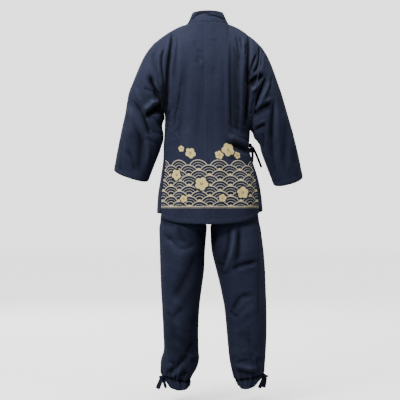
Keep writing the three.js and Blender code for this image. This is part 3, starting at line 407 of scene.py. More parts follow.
class NodeBoard:
    # a material and the means to put nodes into it
    def __init__(self, name):
        self.material = bpy.data.materials.new(name)
        self.material.use_nodes = True
        self.material.node_tree.nodes.clear()
        self.plus, self.minus = partial(self.calc, "ADD"), partial(self.calc, "SUBTRACT")
        self.times, self.most = partial(self.calc, "MULTIPLY"), partial(self.calc, "MAXIMUM")

    def add(self, kind, inputs=None, **settings):
        return addNode(self.material.node_tree, "ShaderNode" + kind, inputs, **settings)

    def calc(self, operation, *values, clamp=False):
        inputs = dict(enumerate(values))
        return self.add("Math", inputs, operation=operation, use_clamp=clamp).outputs[0]

    def blend(self, share, a, b):
        return self.add("Mix", {0: share, 6: a, 7: b}, data_type="RGBA").outputs[2]

    def attribute(self, name):
        return self.add("Attribute", attribute_name=name).outputs["Fac"]

    def finish(self, shader):
        self.add("OutputMaterial", {0: shader.outputs[0]})
        return self.material


cottonLook = {
    "navy": (0.0172, 0.0216, 0.0480),
    # a lighter navy, for faded cloth and for painted highlight on ridges
    "fadedAndLit": (0.041, 0.048, 0.088),
    # the colour of painted shade in creases and hollows
    "deep": (0.0012, 0.0018, 0.0072),
    "threadPitch": 0.00056,
    "weaveHeight": 0.00007,
    "slubHeight": 0.00012,
    "bump": 0.55,
    "roughness": 0.86,
    "sheen": 0.035,
    "sheenRoughness": 0.45,
    "sheenTint": (0.75, 0.82, 1, 1),
    "gloss": 0.22,
    # noises: scale across and along the cloth, detail, roughness
    "weft": (38, 1500, 3, 0.5),
    "warp": (1500, 26, 3, 0.5),
    "cloud": (9, 7, 4, 0.6),
    "mottle": (110, 70, 3, 0.6),
    "weftShare": 0.6,
    "slubGloss": 0.12,
    # how much each of these fades the colour; on ridges the fade is partly wear and partly painted
    # highlight
    "slubFade": 1.1,
    "mottleFade": 0.45,
    "cloudFade": 0.7,
    "cloudFrom": 0.42,
    "wearFade": 0.55,
    "ridgeFadeAndHighlight": 0.14,
    "raisedLightening": 0.02,
    # how much painted shade a crease, and a broad fold, lays on the colour
    "creaseShadeShare": 0.3,
    "foldShadeShare": 0.018,
}


def cottonMaterial(name, tone=1.0, printed=False):
    look, board = cottonLook, NodeBoard(name)
    add, calc = board.add, board.calc
    plus, minus, times = board.plus, board.minus, board.times
    flat = add("UVMap", uv_map="cloth").outputs["UV"]
    u, v = add("SeparateXYZ", {0: flat}).outputs[:2]

    def noise(scaleU, scaleV, detail, rough):
        stretch = add("Mapping", {"Vector": flat, "Scale": (scaleU, scaleV, 1)}).outputs[0]
        inputs = {"Vector": stretch, "Scale": 1, "Detail": detail, "Roughness": rough}
        return add("TexNoise", inputs, noise_dimensions="2D").outputs["Fac"]

    def toned(colour):
        return tuple(c * tone for c in colour) + (1,)

    pitch = 2 * math.pi / look["threadPitch"]
    weave = times(calc("SINE", times(u, pitch)), calc("SINE", times(v, pitch)))
    weft, warp, cloud, mottle = (noise(*look[key]) for key in ("weft", "warp", "cloud", "mottle"))
    slub = plus(times(weft, look["weftShare"]), times(warp, 1 - look["weftShare"]))
    wear, relief, crease = map(board.attribute, ("wear", "relief", "crease"))

    fade = times(minus(cloud, look["cloudFrom"], clamp=True), look["cloudFade"])
    fade = plus(fade, times(minus(slub, 0.5), look["slubFade"]))
    fade = plus(fade, times(minus(mottle, 0.5), look["mottleFade"]))
    fade = plus(fade, times(times(wear, weft), look["wearFade"]))
    # lighter where the cloth stands out, and on ridges partly as wear and partly as painted highlight
    ridge = plus(times(relief, look["raisedLightening"]), times(crease, look["ridgeFadeAndHighlight"]))
    fade = plus(fade, ridge, clamp=True)
    # painted shade: the colour darkens towards deep in creases and broad hollows
    foldShade, creaseShade = times(relief, -look["foldShadeShare"]), times(crease, -look["creaseShadeShare"])
    paintedShade = plus(foldShade, creaseShade, clamp=True)
    colour = board.blend(fade, toned(look["navy"]), toned(look["fadedAndLit"]))
    colour = board.blend(paintedShade, colour, toned(look["deep"]))
    if printed:
        colour = printNodes(board, u, v, colour, weft)

    height = plus(times(weave, look["weaveHeight"]), times(slub, look["slubHeight"]))
    bump = add("Bump", {"Strength": look["bump"], "Distance": 1.0, "Height": height})
    return board.finish(add("BsdfPrincipled", {
        "Base Color": colour,
        "Roughness": plus(times(slub, -look["slubGloss"]), look["roughness"] + look["slubGloss"] / 2),
        "Sheen Weight": look["sheen"],
        "Sheen Roughness": look["sheenRoughness"],
        "Sheen Tint": look["sheenTint"],
        "Specular IOR Level": look["gloss"],
        "Normal": bump.outputs[0],
    }))


printLook = {
    "cream": (0.86, 0.68, 0.27, 1),
    "line": (0.70, 0.64, 0.45, 1),
    "edge": 0.00035,  # softness of every line
    "rub": (-0.35, 1.12),  # how the threads show through: share of their noise, and the most
    "radius": 0.038,  # of a wave
    "rows": 7,  # of waves, half a radius apart
    "bandLow": -0.682,  # height on the cloth
    # the arcs of one wave: share of its radius, half-width
    "arcs": [(0.96, 0.0013), (0.70, 0.0005), (0.46, 0.0008)],
    "core": 0.17,
    # lines under the band: how far below it, half-width
    "borders": [(0, 0.0013), (0.0052, 0.0006)],
    # blossoms: across, height, size, turn
    "blossoms": [
        (0.062, -0.487, 0.02, 0.3), (0.096, -0.47, 0.012, 1.0), (-0.042, -0.494, 0.016, 0.7),
        (-0.078, -0.474, 0.025, 0.1), (-0.112, -0.494, 0.013, 1.3), (0.03, -0.6, 0.025, 0.5),
        (-0.122, -0.632, 0.022, 0.9), (0.128, -0.566, 0.021, 0.2), (-0.046, -0.652, 0.015, 0.8),
        (0.096, -0.655, 0.014, 0.0),
    ],
    # shares of a blossom's size: a petal's middle and radius, the gap in it and where that runs,
    # the ring and the spot at the heart, and the cloth left clear round it
    "petal": (0.56, 0.43),
    "notch": (0.022, 0.3, 0.14),
    "heart": (0.16, 0.085),
    "clear": 1.15,
}


def printNodes(board, u, v, ground, grain):
    # rows of waves, each over the one behind it, and plum blossoms
    look, calc = printLook, board.calc
    plus, minus, times, most = board.plus, board.minus, board.times, board.most
    radius = look["radius"]
    pitch = radius / 2
    height = minus(v, look["bandLow"])
    level = calc("DIVIDE", height, pitch)
    row = calc("FLOOR", level)
    share = minus(level, row)

    def step(value, edge):  # 1 below the edge
        inputs = {"Value": value, "From Min": edge - look["edge"], "From Max": edge + look["edge"]}
        inputs.update({"To Min": 1, "To Max": 0})
        return board.add("MapRange", inputs, interpolation_type="SMOOTHSTEP").outputs[0]

    def nearby(value, place, half):  # 1 within this distance of the place
        return step(calc("ABSOLUTE", minus(value, place)), half)

    def reach(a, b):
        return calc("SQRT", plus(times(a, a), times(b, b)))

    def union(shapes):
        total, *others = shapes
        for shape in others:
            total = most(total, shape)
        return total

    odd = calc("FLOORED_MODULO", plus(row, 1.0), 2.0)
    beside = calc("PINGPONG", minus(plus(u, 40 * radius), times(odd, radius)), radius)
    between = minus(radius, beside)
    away, shown = None, None
    for drop, across in ((-1, beside), (0, between), (1, beside)):  # from the back row to the front
        distance = reach(across, times(plus(share, float(drop)), pitch))
        present = calc("LESS_THAN", minus(row, float(drop)), look["rows"] + 0.5)
        inside = times(calc("LESS_THAN", distance, radius), present)
        if away is None:
            away, shown = distance, inside
        else:
            away, shown = plus(away, times(minus(distance, away), inside)), most(shown, inside)
    lines = union([nearby(away, radius * part, half) for part, half in look["arcs"]])
    shown = times(shown, calc("GREATER_THAN", height, 0.0))
    core = times(step(away, radius * look["core"]), shown)
    borders = union([nearby(height, -below, half) for below, half in look["borders"]])
    lines = most(times(lines, shown), borders)

    flowers, around = [], []
    (petalAt, petalSize), (ring, heart) = look["petal"], look["heart"]
    gap, gapAt, gapReach = look["notch"]
    for centreU, centreV, size, turn in look["blossoms"]:
        du, dv = minus(u, centreU), minus(v, centreV)
        out = reach(du, dv)
        fold = calc("PINGPONG", plus(calc("ARCTAN2", dv, du), turn + 8 * math.pi), math.pi / 5)
        across, onwards = times(out, calc("SINE", fold)), times(out, calc("COSINE", fold))
        petal = step(reach(across, minus(onwards, size * petalAt)), size * petalSize)
        notch = step(calc("ABSOLUTE", across), size * gap)
        stem = nearby(out, size * gapAt, size * gapReach)
        inside = most(times(notch, stem), step(out, size * ring))
        flowers.append(most(times(petal, minus(1.0, inside)), step(out, size * heart)))
        around.append(step(out, size * look["clear"]))

    bare = minus(1.0, union(around))
    lines = times(lines, bare)
    solid = most(times(core, bare), union(flowers))
    rub = plus(times(grain, look["rub"][0]), look["rub"][1], clamp=True)
    ground = board.blend(times(lines, rub), ground, look["line"])
    return board.blend(times(solid, rub), ground, look["cream"])


threadLook = {
    "dark": (0.016, 0.021, 0.043, 1),
    "light": (0.04, 0.05, 0.085, 1),
    "twist": 900,
    "roughness": 0.6,
}


def threadMaterial():
    look, board = threadLook, NodeBoard("threadNavy")
    place = board.add("TexCoord").outputs["Object"]
    twist = board.add("TexNoise", {"Scale": look["twist"], "Vector": place}).outputs["Fac"]
    tint = board.blend(twist, look["dark"], look["light"])
    shader = board.add("BsdfPrincipled", {"Base Color": tint, "Roughness": look["roughness"]})
    return board.finish(shader)


jacketCotton = cottonMaterial("jacketCotton")
printedCotton = cottonMaterial("printedCotton", printed=True)
collarCotton = cottonMaterial("collarCotton", tone=1.12)
# a lighter copy of the navy cotton, as painted light on the legs
trouserCotton = cottonMaterial("trouserCotton", tone=1.14)
tieCotton = cottonMaterial("tieCotton", tone=0.62)
thread = threadMaterial()
print("materials made")

bodyForm = {
    "middleY": 4,
    "roundness": 0.9,
    "sideZ": [-750, -690, -630, -570, -510, -470, -430, -355],
    "leftX": [193, 194, 190, 179, 169, 168, 167, 165],
    "rightX": [-197, -197, -191, -178, -158, -147, -149, -153],
    "seamAngle": [66, 66, 66, 68, 74, 80, 86, 90],
    "centreZ": [-750, -650, -550, -450, -350, -250, -150, -70, -4],
    "backY": [130, 128, 117, 106, 106, 108, 100, 80, 55],
    "frontY": [126, 124, 119, 114, 112, 112, 98, 70, 32],
    # heights of the hem, and of the first row over it: middle, left side, right side
    "hemBack": (-747, -723, -706),
    "hemFront": (-713, -703, -690),
    "hemRow": (-728, -712, -697),
    "split": 8 / 18,  # the share of the rows that lies below the armpits
    "skirtCloth": 350,  # lengths of cloth below and above them
    "yokeCloth": 400,
    "neckX": 6,
    "neckHalf": 76,
    "neckSideY": 8,
    "neckSideZ": -8,
    "napeZ": -4,
}
armpitRow = int(bodyForm["skirtCloth"] / cloth["spacing"])
sleeveForm = {
    # sections from the armhole to the cuff
    "left": {
        "outerX": [211, 237, 258, 279, 298, 306, 313, 324, 335, 346, 357],
        "outerZ": [-83, -118, -160, -211, -259, -298, -340, -386, -437, -488, -545],
        "innerX": [165, 171, 176, 178, 179, 179, 178, 177, 185, 204, 228],
        "innerZ": [-355, -367, -379, -389, -399, -411, -426, -446, -479, -526, -586],
        "depth": [76, 74, 72, 70, 68, 66, 64, 62, 61, 61, 62],
        "y": [4, 5, 6, 7, 7, 6, 3, -3, -12, -22, -34],
        "dip": [0, 0, 0, 0, 0, 1, 3, 6, 9, 12, 15],
    },
    "right": {
        "outerX": [-194, -213, -232, -250, -267, -281, -295, -309, -324, -337, -349],
        "outerZ": [-92, -122, -164, -214, -263, -310, -357, -404, -459, -513, -570],
        "innerX": [-152, -157, -161, -163, -165, -169, -178, -187, -194, -211, -239],
        "innerZ": [-400, -407, -413, -419, -425, -433, -443, -457, -485, -530, -599],
        "depth": [78, 76, 74, 71, 69, 66, 64, 63, 62, 62, 63],
        "y": [4, 5, 6, 7, 7, 6, 3, -3, -12, -22, -34],
        "dip": [0, 0, 0, 0, 0, 1, 3, 6, 10, 14, 18],
    },
}


def ringPoint(section, turn, power=1.0):
    back, out = ovalArc(turn, power)
    middleX = (section["outerX"] + section["innerX"]) / 2
    middleZ = (section["outerZ"] + section["innerZ"]) / 2
    return stack(
        middleX + (section["outerX"] - section["innerX"]) / 2 * out,
        section["y"] + section["depth"] * back,
        middleZ + (section["outerZ"] - section["innerZ"]) / 2 * out - section["dip"] * back,
    )


def armhole(s):  # the ring where the sleeve on that side begins
    left, right = sleeveForm["left"], sleeveForm["right"]
    return {key: np.where(s > 0, left[key][0], right[key][0]) for key in left}


def armpitHeight(s):
    left, right = sleeveForm["left"]["innerZ"][0], sleeveForm["right"]["innerZ"][0]
    return (left + right) / 2 + (left - right) / 2 * s * np.abs(s)


def skirtPoint(face, s, share):
    form, back = bodyForm, face == "back"
    first = 1 / 8  # of the rows, which takes up the hem's slope

    def low(edge):
        return mix(edge[0], np.where(s > 0, edge[1], edge[2]), np.abs(s) ** 2.4)

    def rowAt(part):
        return mix(low(form["hemRow"]), armpitHeight(s), part)

    def sideAt(z, key):
        return curveAt(z, form["sideZ"], form[key])

    hem = low(form["hemBack"] if back else form["hemFront"])
    z = np.where(share < first, mix(hem, rowAt(first), share / first), rowAt(share))
    left, right, seam = sideAt(z, "leftX"), sideAt(z, "rightX"), sideAt(z, "seamAngle")
    behind = curveAt(z, form["centreZ"], form["backY"])
    front = curveAt(z, form["centreZ"], form["frontY"])
    over, ahead = ovalArc(s * np.radians(seam if back else 180 - seam), form["roundness"])
    reach = np.where((not back) & (ahead > 0), front, behind)
    return stack(
        (left + right) / 2 + (left - right) / 2 * over,
        form["middleY"] + (1 if back else -1) * ahead * reach,
        z,
    )


def shoulderLine(x, tip):
    form = bodyForm
    out = np.abs(x - form["neckX"]) / form["neckHalf"]
    back = curveAt(np.array([form["napeZ"]]), form["centreZ"], form["backY"])[0]
    arch = np.sqrt(np.clip(1 - out * out, 0, 1))
    neckSide = form["neckX"] + np.sign(x - form["neckX"]) * form["neckHalf"]
    along = np.clip((x - neckSide) / (tip[..., 0] - neckSide), 0, 1)
    y = np.where(
        out < 1,
        mix(form["neckSideY"], form["middleY"] + back, arch),
        mix(form["neckSideY"], tip[..., 1], along),
    )
    z = np.where(
        out < 1,
        mix(form["napeZ"], form["neckSideZ"], out * out),
        mix(form["neckSideZ"], tip[..., 2], along ** 1.45),
    )
    return stack(x, y, z)


def yokePoint(face, s, share):
    form, hole = bodyForm, armhole(s)
    facing = 1 if face == "back" else -1
    level = armpitHeight(np.array([0.0]))
    middle = sum(curveAt(level, form["sideZ"], form[key]) for key in ("leftX", "rightX")) / 2

    def rowPoint(t):
        rise = (1 - np.cos(np.pi * t)) / 2
        z = mix(level[0], form["napeZ"], rise)
        reach = curveAt(z, form["centreZ"], form[face + "Y"])
        edge = ringPoint(hole, facing * np.pi * (1 - t))
        turn = np.radians(mix(90, 54, ramp(0, 0.4, t)))
        place = np.abs(s)
        over = (np.sin(place * turn) / np.sin(turn)) ** form["roundness"]
        flat = np.cos(turn) ** form["roundness"]
        ahead = (np.cos(place * turn) ** form["roundness"] - flat) / (1 - flat)
        return stack(
            mix(mix(middle[0], form["neckX"], rise), edge[..., 0], over),
            mix(edge[..., 1], form["middleY"] + facing * reach, ahead),
            mix(z, edge[..., 2], place * place),
        )

    rise = (1 - np.cos(np.pi * share)) / 2
    top = np.clip((rise - 0.7) / 0.3, 0, 1)  # the last of it bends over to the shoulder line
    over = 1 - np.sqrt(1 - top * top)
    last = rowPoint(np.ones_like(share))
    target = shoulderLine(last[..., 0], ringPoint(hole, np.zeros_like(share)))
    return rowPoint(share) + (target - last) * over[..., None]


def bodyPoint(face, s, v):
    s, v = np.broadcast_arrays(np.asarray(s, float), np.asarray(v, float))
    split = bodyForm["split"]
    below = skirtPoint(face, s, np.clip(v / split, 0, 1))
    above = yokePoint(face, s, np.clip((v - split) / (1 - split), 0, 1))
    return np.where((v < split)[..., None], below, above)


def bodyOffset(face, s, v, out):
    s, v = np.broadcast_arrays(np.asarray(s, float), np.asarray(v, float))
    step = 0.004
    across = bodyPoint(face, np.minimum(s + step, 1), v) - bodyPoint(face, np.maximum(s - step, -1), v)
    up = bodyPoint(face, s, np.minimum(v + step, 1)) - bodyPoint(face, s, np.maximum(v - step, 0))
    normal = unit(np.cross(across, up)) * (-1 if face == "back" else 1)
    return bodyPoint(face, s, v) + normal * np.asarray(out)[..., None]


def frontPlace(x, v):  # the share s across the front at which it reaches x
    ends = np.full(np.shape(x), -1.0), np.full(np.shape(x), 1.0)
    return halving(*ends, 34, lambda s: bodyPoint("front", s, v)[..., 0] < x)


def heightShare(face, s, z):
    s, z = np.broadcast_arrays(np.asarray(s, float), np.asarray(z, float))
    return halving(np.zeros(z.shape), np.ones(z.shape), 26, lambda v: bodyPoint(face, s, v)[..., 2] < z)


def frontAt(x, z, out):
    s, v = np.zeros(np.shape(x)), np.full(np.shape(x), 0.5)
    for _ in range(5):
        s = frontPlace(x, v)
        v = heightShare("front", s, z)
    return bodyOffset("front", s, v, out)


def bodyRows():  # shares of the height, evenly spaced on the cloth
    split = bodyForm["split"]
    below = np.linspace(0, split, armpitRow, endpoint=False)
    even = np.linspace(0, 1, int(bodyForm["yokeCloth"] / cloth["spacing"]) + 1)
    t = mix(even, np.arccos(1 - 2 * even) / math.pi, 0.5)
    return np.concatenate([below, split + (1 - split) * t])


backPanels = {
    "halfWidth": 225,
    "folds": [  # from x, z, to x, z, half-width, rise
        (137, -62, 148, -160, 11, -5), (148, -130, 158, -300, 12, -7), (118, -80, 134, -240, 14, -3),
        (-142, -70, -138, -220, 11, -6), (-138, -190, -134, -380, 12, -7),
        (-94, -110, -98, -405, 20, -5.5), (-63, -130, -66, -400, 10, 2), (-78, -418, -140, -446, 14, 7),
        (-88, -452, -146, -486, 15, -6), (90, -190, 122, -470, 17, -4), (62, -170, 82, -520, 20, 1.4),
        (30, -120, 40, -400, 18, -1), (-34, -180, -30, -500, 18, 1.2), (120, -520, 150, -700, 18, -5),
        (-130, -560, -150, -690, 16, 5), (10, -520, 14, -700, 26, 2), (60, -560, 66, -700, 22, -2.4),
        (-60, -540, -70, -700, 24, -2.4),
    ],
    # the keener ones: half-width at either end, rise, then the x, z of the line
    "creases": [
        # by the left armhole
        (3, 8, -12, 141, -42, 145, -90, 151, -140, 156, -190, 160, -250, 163, -320, 165, -358),
        (5, 7, -2.2, 124, -48, 121, -90, 128, -150, 134, -224),
        (6, 7, 2, 133, -100, 140, -170, 146, -260),
        (8, 9, 2.2, 112, -70, 112, -140, 108, -230, 104, -290),
        (5, 6, -3.6, 102, -205, 112, -290, 124, -340, 136, -396),
        (6, 7, -4, 148, -330, 156, -372, 160, -420), (6, 7, -1.6, 118, -300, 140, -328, 160, -350),
        (7, 7, -1.4, 104, -386, 136, -414, 164, -426), (7, 7, 1.2, 110, -430, 140, -440, 164, -446),
        # by the right armhole
        (3, 7, -12, -143, -46, -146, -100, -143, -150, -140, -210, -143, -260, -140, -320, -134, -378),
        (4, 4, -4.5, -133, -86, -133, -108, -132, -130), (6, 7, 3, -124, -60, -126, -130, -124, -220),
        (4, 5, -3.8, -97, -56, -104, -100, -110, -156), (4, 4, -2.6, -110, -58, -117, -90, -121, -118),
        (8, 9, 2.2, -116, -150, -118, -260, -120, -384),
        (4, 6, -4.2, -75, -84, -75, -200, -76, -300, -80, -404),
        (5, 6, -2.2, -86, -100, -100, -140, -106, -190),
        (6, 7, -1.8, -106, -250, -108, -330, -104, -410),
        # over the tied waist
        (5, 6, -4.4, -74, -410, -98, -424, -128, -436, -146, -441),
        (6, 6, 3.6, -70, -428, -104, -446, -142, -456), (5, 7, -3, -58, -446, -98, -462, -142, -472),
        (7, 7, 2.6, -54, -474, -100, -488, -144, -498), (8, 8, -2.4, -60, -500, -110, -520, -150, -530),
        # dents over the shoulder blades
        (6, 6, -1.2, 57, -80, 55, -92, 56, -102), (5, 5, -1.8, 46, -110, 38, -117, 28, -120),
        (7, 8, -1.5, 38, -132, 44, -148, 50, -164), (6, 6, 1.6, 28, -150, 32, -176),
        (6, 6, -0.8, -18, -70, -20, -84), (8, 8, -0.9, -12, -176, -10, -206),
        (6, 7, -0.8, -48, -216, -49, -240, -46, -300), (9, 10, 0.7, 66, -150, 74, -300, 80, -460),
        (9, 10, -0.5, 36, -240, 42, -340, 46, -470), (9, 10, 0.6, -18, -250, -22, -360, -20, -460),
        # over the hips
        (9, 11, -3, 112, -540, 128, -610, 142, -690), (9, 10, 3, -112, -560, -128, -620, -140, -690),
        (10, 11, 2.4, 90, -560, 104, -640, 112, -704), (10, 11, -2, -46, -520, -70, -610, -92, -690),
        (10, 12, -1.8, 30, -600, 34, -700), (10, 12, 1.8, -20, -590, -26, -704),
    ],
    # painted shade, as of a pleat let out down the right of the back: its keen edge, from and to, width,
    # depth
    "pleatShade": {"edge": -74, "top": -110, "foot": -412, "width": 44, "shade": 0.75},
    # small creases: count, area, heading, spread, length, half-width, rise
    "strewn": (46, (10, 210, 60, 720), 84, 55, (20, 90), (4, 8), (0.12, 0.45)),
    "strewnBySleeve": (22, (110, 225, 300, 470), 30, 25, (30, 80), (3, 6), (0.4, 1.4)),
    "ripple": 0.6,
    "centreSeam": 0.4,
    "topSeam": 0.3,
}
sleeveFolds = {
    "left": {
        "folds": [
            (167, -110, 171, -235, 12, -4), (209, -118, 192, -215, 12, -4),
            (220, -205, 186, -300, 14, -6), (228, -356, 180, -324, 15, -8),
            (236, -330, 200, -296, 13, 5), (280, -300, 206, -420, 15, -5),
            (298, -320, 236, -430, 15, 4), (300, -380, 330, -530, 17, 5),
            (256, -420, 266, -560, 20, -4),
        ],
        "creases": [
            (4, 6, -8, 165, -104, 175, -126, 177, -170, 172, -214, 167, -256),
            (6, 7, 3, 186, -112, 188, -150, 182, -204), (4, 5, -2.4, 209, -108, 206, -150, 194, -196),
            (7, 10, -13, 219, -202, 211, -232, 196, -256, 174, -284),
            (5, 7, -8, 206, -256, 192, -278, 178, -300, 170, -324),
            (5, 5, 4, 202, -226, 190, -248, 176, -266), (4, 5, -3, 241, -249, 222, -256, 204, -262),
            (6, 15, -18, 234, -354, 214, -340, 194, -326, 170, -318),
            (8, 8, 5, 216, -300, 198, -302, 178, -296), (7, 8, 4, 242, -332, 224, -322, 202, -306),
            (5, 10, -6, 280, -300, 262, -322, 246, -348, 232, -384, 222, -424),
            (6, 7, 5, 232, -354, 220, -380, 208, -414), (7, 8, -6, 206, -352, 190, -372, 176, -398),
            (9, 12, 4, 296, -316, 288, -370, 286, -430),
            (12, 18, -4, 264, -390, 254, -450, 258, -520, 262, -560),
            (8, 10, 4, 232, -430, 226, -480, 236, -540), (8, 9, -3, 322, -430, 326, -500, 334, -556),
            (5, 6, -3.6, 226, -394, 202, -408, 178, -418),
            (6, 7, -1.8, 252, -436, 216, -440, 186, -452), (6, 7, 1.4, 244, -420, 212, -426, 184, -434),
            (7, 9, -3, 304, -470, 286, -510, 280, -556), (8, 9, 2.4, 270, -250, 262, -280, 250, -300),
        ],
        # painted shadow, where cloth folds in under the arm
        "shadows": [  # where cloth folds in under the arm
            (7, 13, 5, 172, -226, 173, -270, 172, -310, 168, -356),
            (3.4, 8, 6, 142, -70, 148, -120, 154, -170, 158, -230, 162, -300, 165, -356),
            (6, 15, 5, 228, -356, 200, -336, 172, -326), (5, 9, 2.5, 206, -252, 190, -276, 172, -300),
        ],
        "sag": (-416, 30, 8.5),  # under the elbow, towards the body: height, reach, rise
    },
    "right": {
        "folds": [
            (-182, -105, -177, -185, 12, -4), (-181, -170, -150, -275, 12, -6),
            (-196, -215, -158, -335, 13, -5), (-204, -250, -172, -330, 10, 4),
            (-226, -312, -160, -354, 13, -5), (-202, -380, -170, -398, 12, -4),
            (-233, -300, -224, -500, 14, -4), (-282, -380, -268, -530, 15, -1.2),
            (-256, -340, -248, -520, 15, 2.6),
        ],
        "creases": [
            (4.5, 7, -9, -184, -90, -185, -130, -178, -168, -158, -202),
            (4, 6, -9, -173, -124, -161, -156, -151, -188, -146, -216),
            (6, 7, 3, -196, -120, -196, -160, -186, -194),
            (6, 13, -16, -203, -200, -178, -211, -160, -226, -148, -246),
            (6, 7, 6, -188, -232, -168, -250, -151, -264),
            (5, 9, -12, -210, -204, -197, -238, -181, -276, -160, -326),
            (6, 8, 5, -219, -226, -207, -260, -190, -298),
            (4, 4, -4, -229, -208, -225, -232, -222, -256),
            (6, 9, -8, -226, -303, -198, -317, -173, -333, -148, -346),
            (7, 8, 4.5, -228, -290, -202, -301, -178, -315),
            (5, 9, -5.5, -237, -296, -233, -340, -228, -390, -226, -446),
            (8, 10, 2.6, -248, -318, -245, -380, -242, -450),
            (4, 5, -6, -206, -383, -183, -393, -160, -408),
            (5, 6, 4, -208, -368, -188, -376, -165, -388),
            (6, 10, -1.2, -285, -376, -281, -440, -270, -528),
            (9, 10, 1.8, -302, -420, -298, -480, -292, -550),
            (8, 9, 4, -208, -428, -204, -470, -214, -520),
            (8, 10, -3, -226, -450, -230, -500, -242, -562),
            (8, 10, 1.6, -258, -440, -255, -500, -260, -560),
            (6, 7, -4, -190, -412, -200, -436, -196, -470),
            (9, 10, -2.4, -262, -250, -266, -300, -272, -350), (8, 9, -2.6, -314, -470, -318, -530),
        ],
        "shadows": [
            (3, 6, 4, -146, -150, -143, -210, -145, -262, -141, -320, -135, -378),
            (5, 12, 5, -196, -202, -170, -215, -150, -238),
            (5, 8, 3, -156, -190, -150, -230, -150, -262),
        ],
        "sag": (-416, 30, 0),
    },
    "strewn": (46, (0, 470, 40, 480), 35, 50, (24, 90), (3.5, 7), (0.2, 0.9)),
    "ripple": 0.9,
    "frontDrop": 22,  # the front of the sleeve has the same folds, lower and fainter
    "frontShare": 0.8,
    "cuffHem": 20,
    "around": 470,
    "along": 520,
}
sewnEdges = ("left", "right", "top")


def makeBack(name, which, seed):
    form, arm = backPanels, sleeveFolds[which]
    side = 1 if which == "left" else -1
    s = side * np.linspace(0, 1, int(form["halfWidth"] / cloth["spacing"]) + 1)[None, :]
    panel = Panel(bodyPoint("back", s, bodyRows()[:, None]), facing=-side)
    panel.ease(armpitRow, 9)
    x, z = panel.x, panel.z
    panel.relief += foldRelief(form["folds"], x, z) * panel.quiet() * ramp(0, 24, panel.v)
    panel.relief += creaseRelief(form["creases"], x, z) * panel.calm(*sewnEdges)
    near = panel.calm("right", "top", reach=5) * ramp(120, 140, np.abs(x))
    panel.relief += creaseRelief(arm["creases"], x, z) * near
    # painted shadow by the armhole
    panel.dark += creaseRelief(arm["shadows"], x, z)
    # painted shade with a keen edge down the right of the back
    pleatShade = form["pleatShade"]
    past = pleatShade["edge"] - x
    tall = ramp(0, 40, z - pleatShade["foot"] - 0.25 * past) * ramp(0, 120, pleatShade["top"] - z)
    panel.dark += pleatShade["shade"] * tall * ramp(0, 5, past) * (1 - ramp(0.4, 1, past / pleatShade["width"]))
    panel.ripple(form["ripple"], seed, panel.calm(*sewnEdges, reach=22))
    small = strewFolds(seed, *form["strewn"])
    count, area, heading, *sizes = form["strewnBySleeve"]
    small += strewFolds(seed + 1, count, area, heading * side, *sizes)
    panel.relief += foldRelief(small, panel.u, panel.v) * panel.calm(*sewnEdges)
    panel.seam("left", allowance=side > 0, seed=seed, depth=form["centreSeam"])
    panel.seam("right", allowance=True, seed=seed + 5)
    panel.seam("top", allowance=False, seed=seed + 9, depth=form["topSeam"])
    panel.hem("bottom", seed=seed + 3)
    uv = stack(side * panel.u, panel.base[:1, :, 2] + panel.v)
    rests = ["collar", "sleeve_left", "sleeve_right"]
    sewPanel(name, panel, printedCotton, "printed_back", restsOn=rests, uv=uv, sewn=sewnEdges)
    return panel


backLeft = makeBack("jacket_back_left", "left", 11)
backRight = makeBack("jacket_back_right", "right", 23)
print("backs made")

frontPanels = {
    "width": 300,
    "wrapZ": [-720, -560, -460, -360, -260, -170, -100, -45, -4],
    "wrapX": [-84, -82, -76, -44, 0, 36, 58, 73, 82],
    "rightCollarLift": 0.5,
    "leftLift": 4.9,
    "leftCollarLift": 5.9,
    "laps": 14,  # of the upper front, past the under collar
    # where the left front lies on the right one, and where the right one shows
    "free": (118, 142),
    "bared": (60, 100),
    # shares of folds and creases where it lies on the other
    "heldTrough": 0.12,
    "heldRidge": 0.9,
    "heldCrease": 0.5,
    "collarWidth": 48,
    "folds": [
        (128, -110, 142, -330, 12, -10), (-126, -120, -132, -370, 12, -10),
        (104, -200, 118, -520, 18, -6), (70, -260, -40, -420, 16, 6), (84, -360, -60, -460, 15, -6),
        (110, -500, 128, -690, 17, 6), (30, -500, 44, -690, 18, -5), (-112, -200, -108, -340, 14, 6),
    ],
    "creases": [
        (120, -300, 160, -348, 6, -2.2), (96, -320, 158, -376, 6, 1.8), (60, -300, -20, -400, 7, 1.6),
        (100, -380, -64, -478, 7, 1.8), (90, -420, -60, -500, 8, -1.6), (60, -180, 96, -330, 9, -1.4),
        (70, -560, 84, -700, 9, 1.6), (0, -540, 6, -700, 9, -1.4), (-30, -520, -40, -700, 8, 1.2),
        (140, -560, 150, -690, 7, -1.4), (-120, -380, -144, -440, 5, -1.8),
        (-128, -470, -140, -560, 6, -1.6),
    ],
    "strewn": (30, (10, 280, 60, 680), 92, 36, (40, 120), (3.5, 7), (0.3, 0.8)),
    "ripple": {"left": 0.7, "right": 0.25},
}


def wrapX(z):  # the edge of the upper front
    form = frontPanels
    return curveAt(np.clip(z, form["wrapZ"][0], form["wrapZ"][-1]), form["wrapZ"], form["wrapX"])


def wrapLine(side, v):
    x = wrapX(bodyPoint("front", 0.0, v)[..., 2])
    return frontPlace(x if side > 0 else 2 * bodyForm["neckX"] - x, v)


def leftLift(x, z):  # how far the upper front stands off where the under collar lies
    under = 2 * bodyForm["neckX"] - wrapX(z) + frontPanels["collarWidth"] + frontPanels["laps"]
    room = mix(36, 60, ramp(-400, -200, z))
    return frontPanels["leftLift"] * (1 - ramp(under - 2, under + room, x))


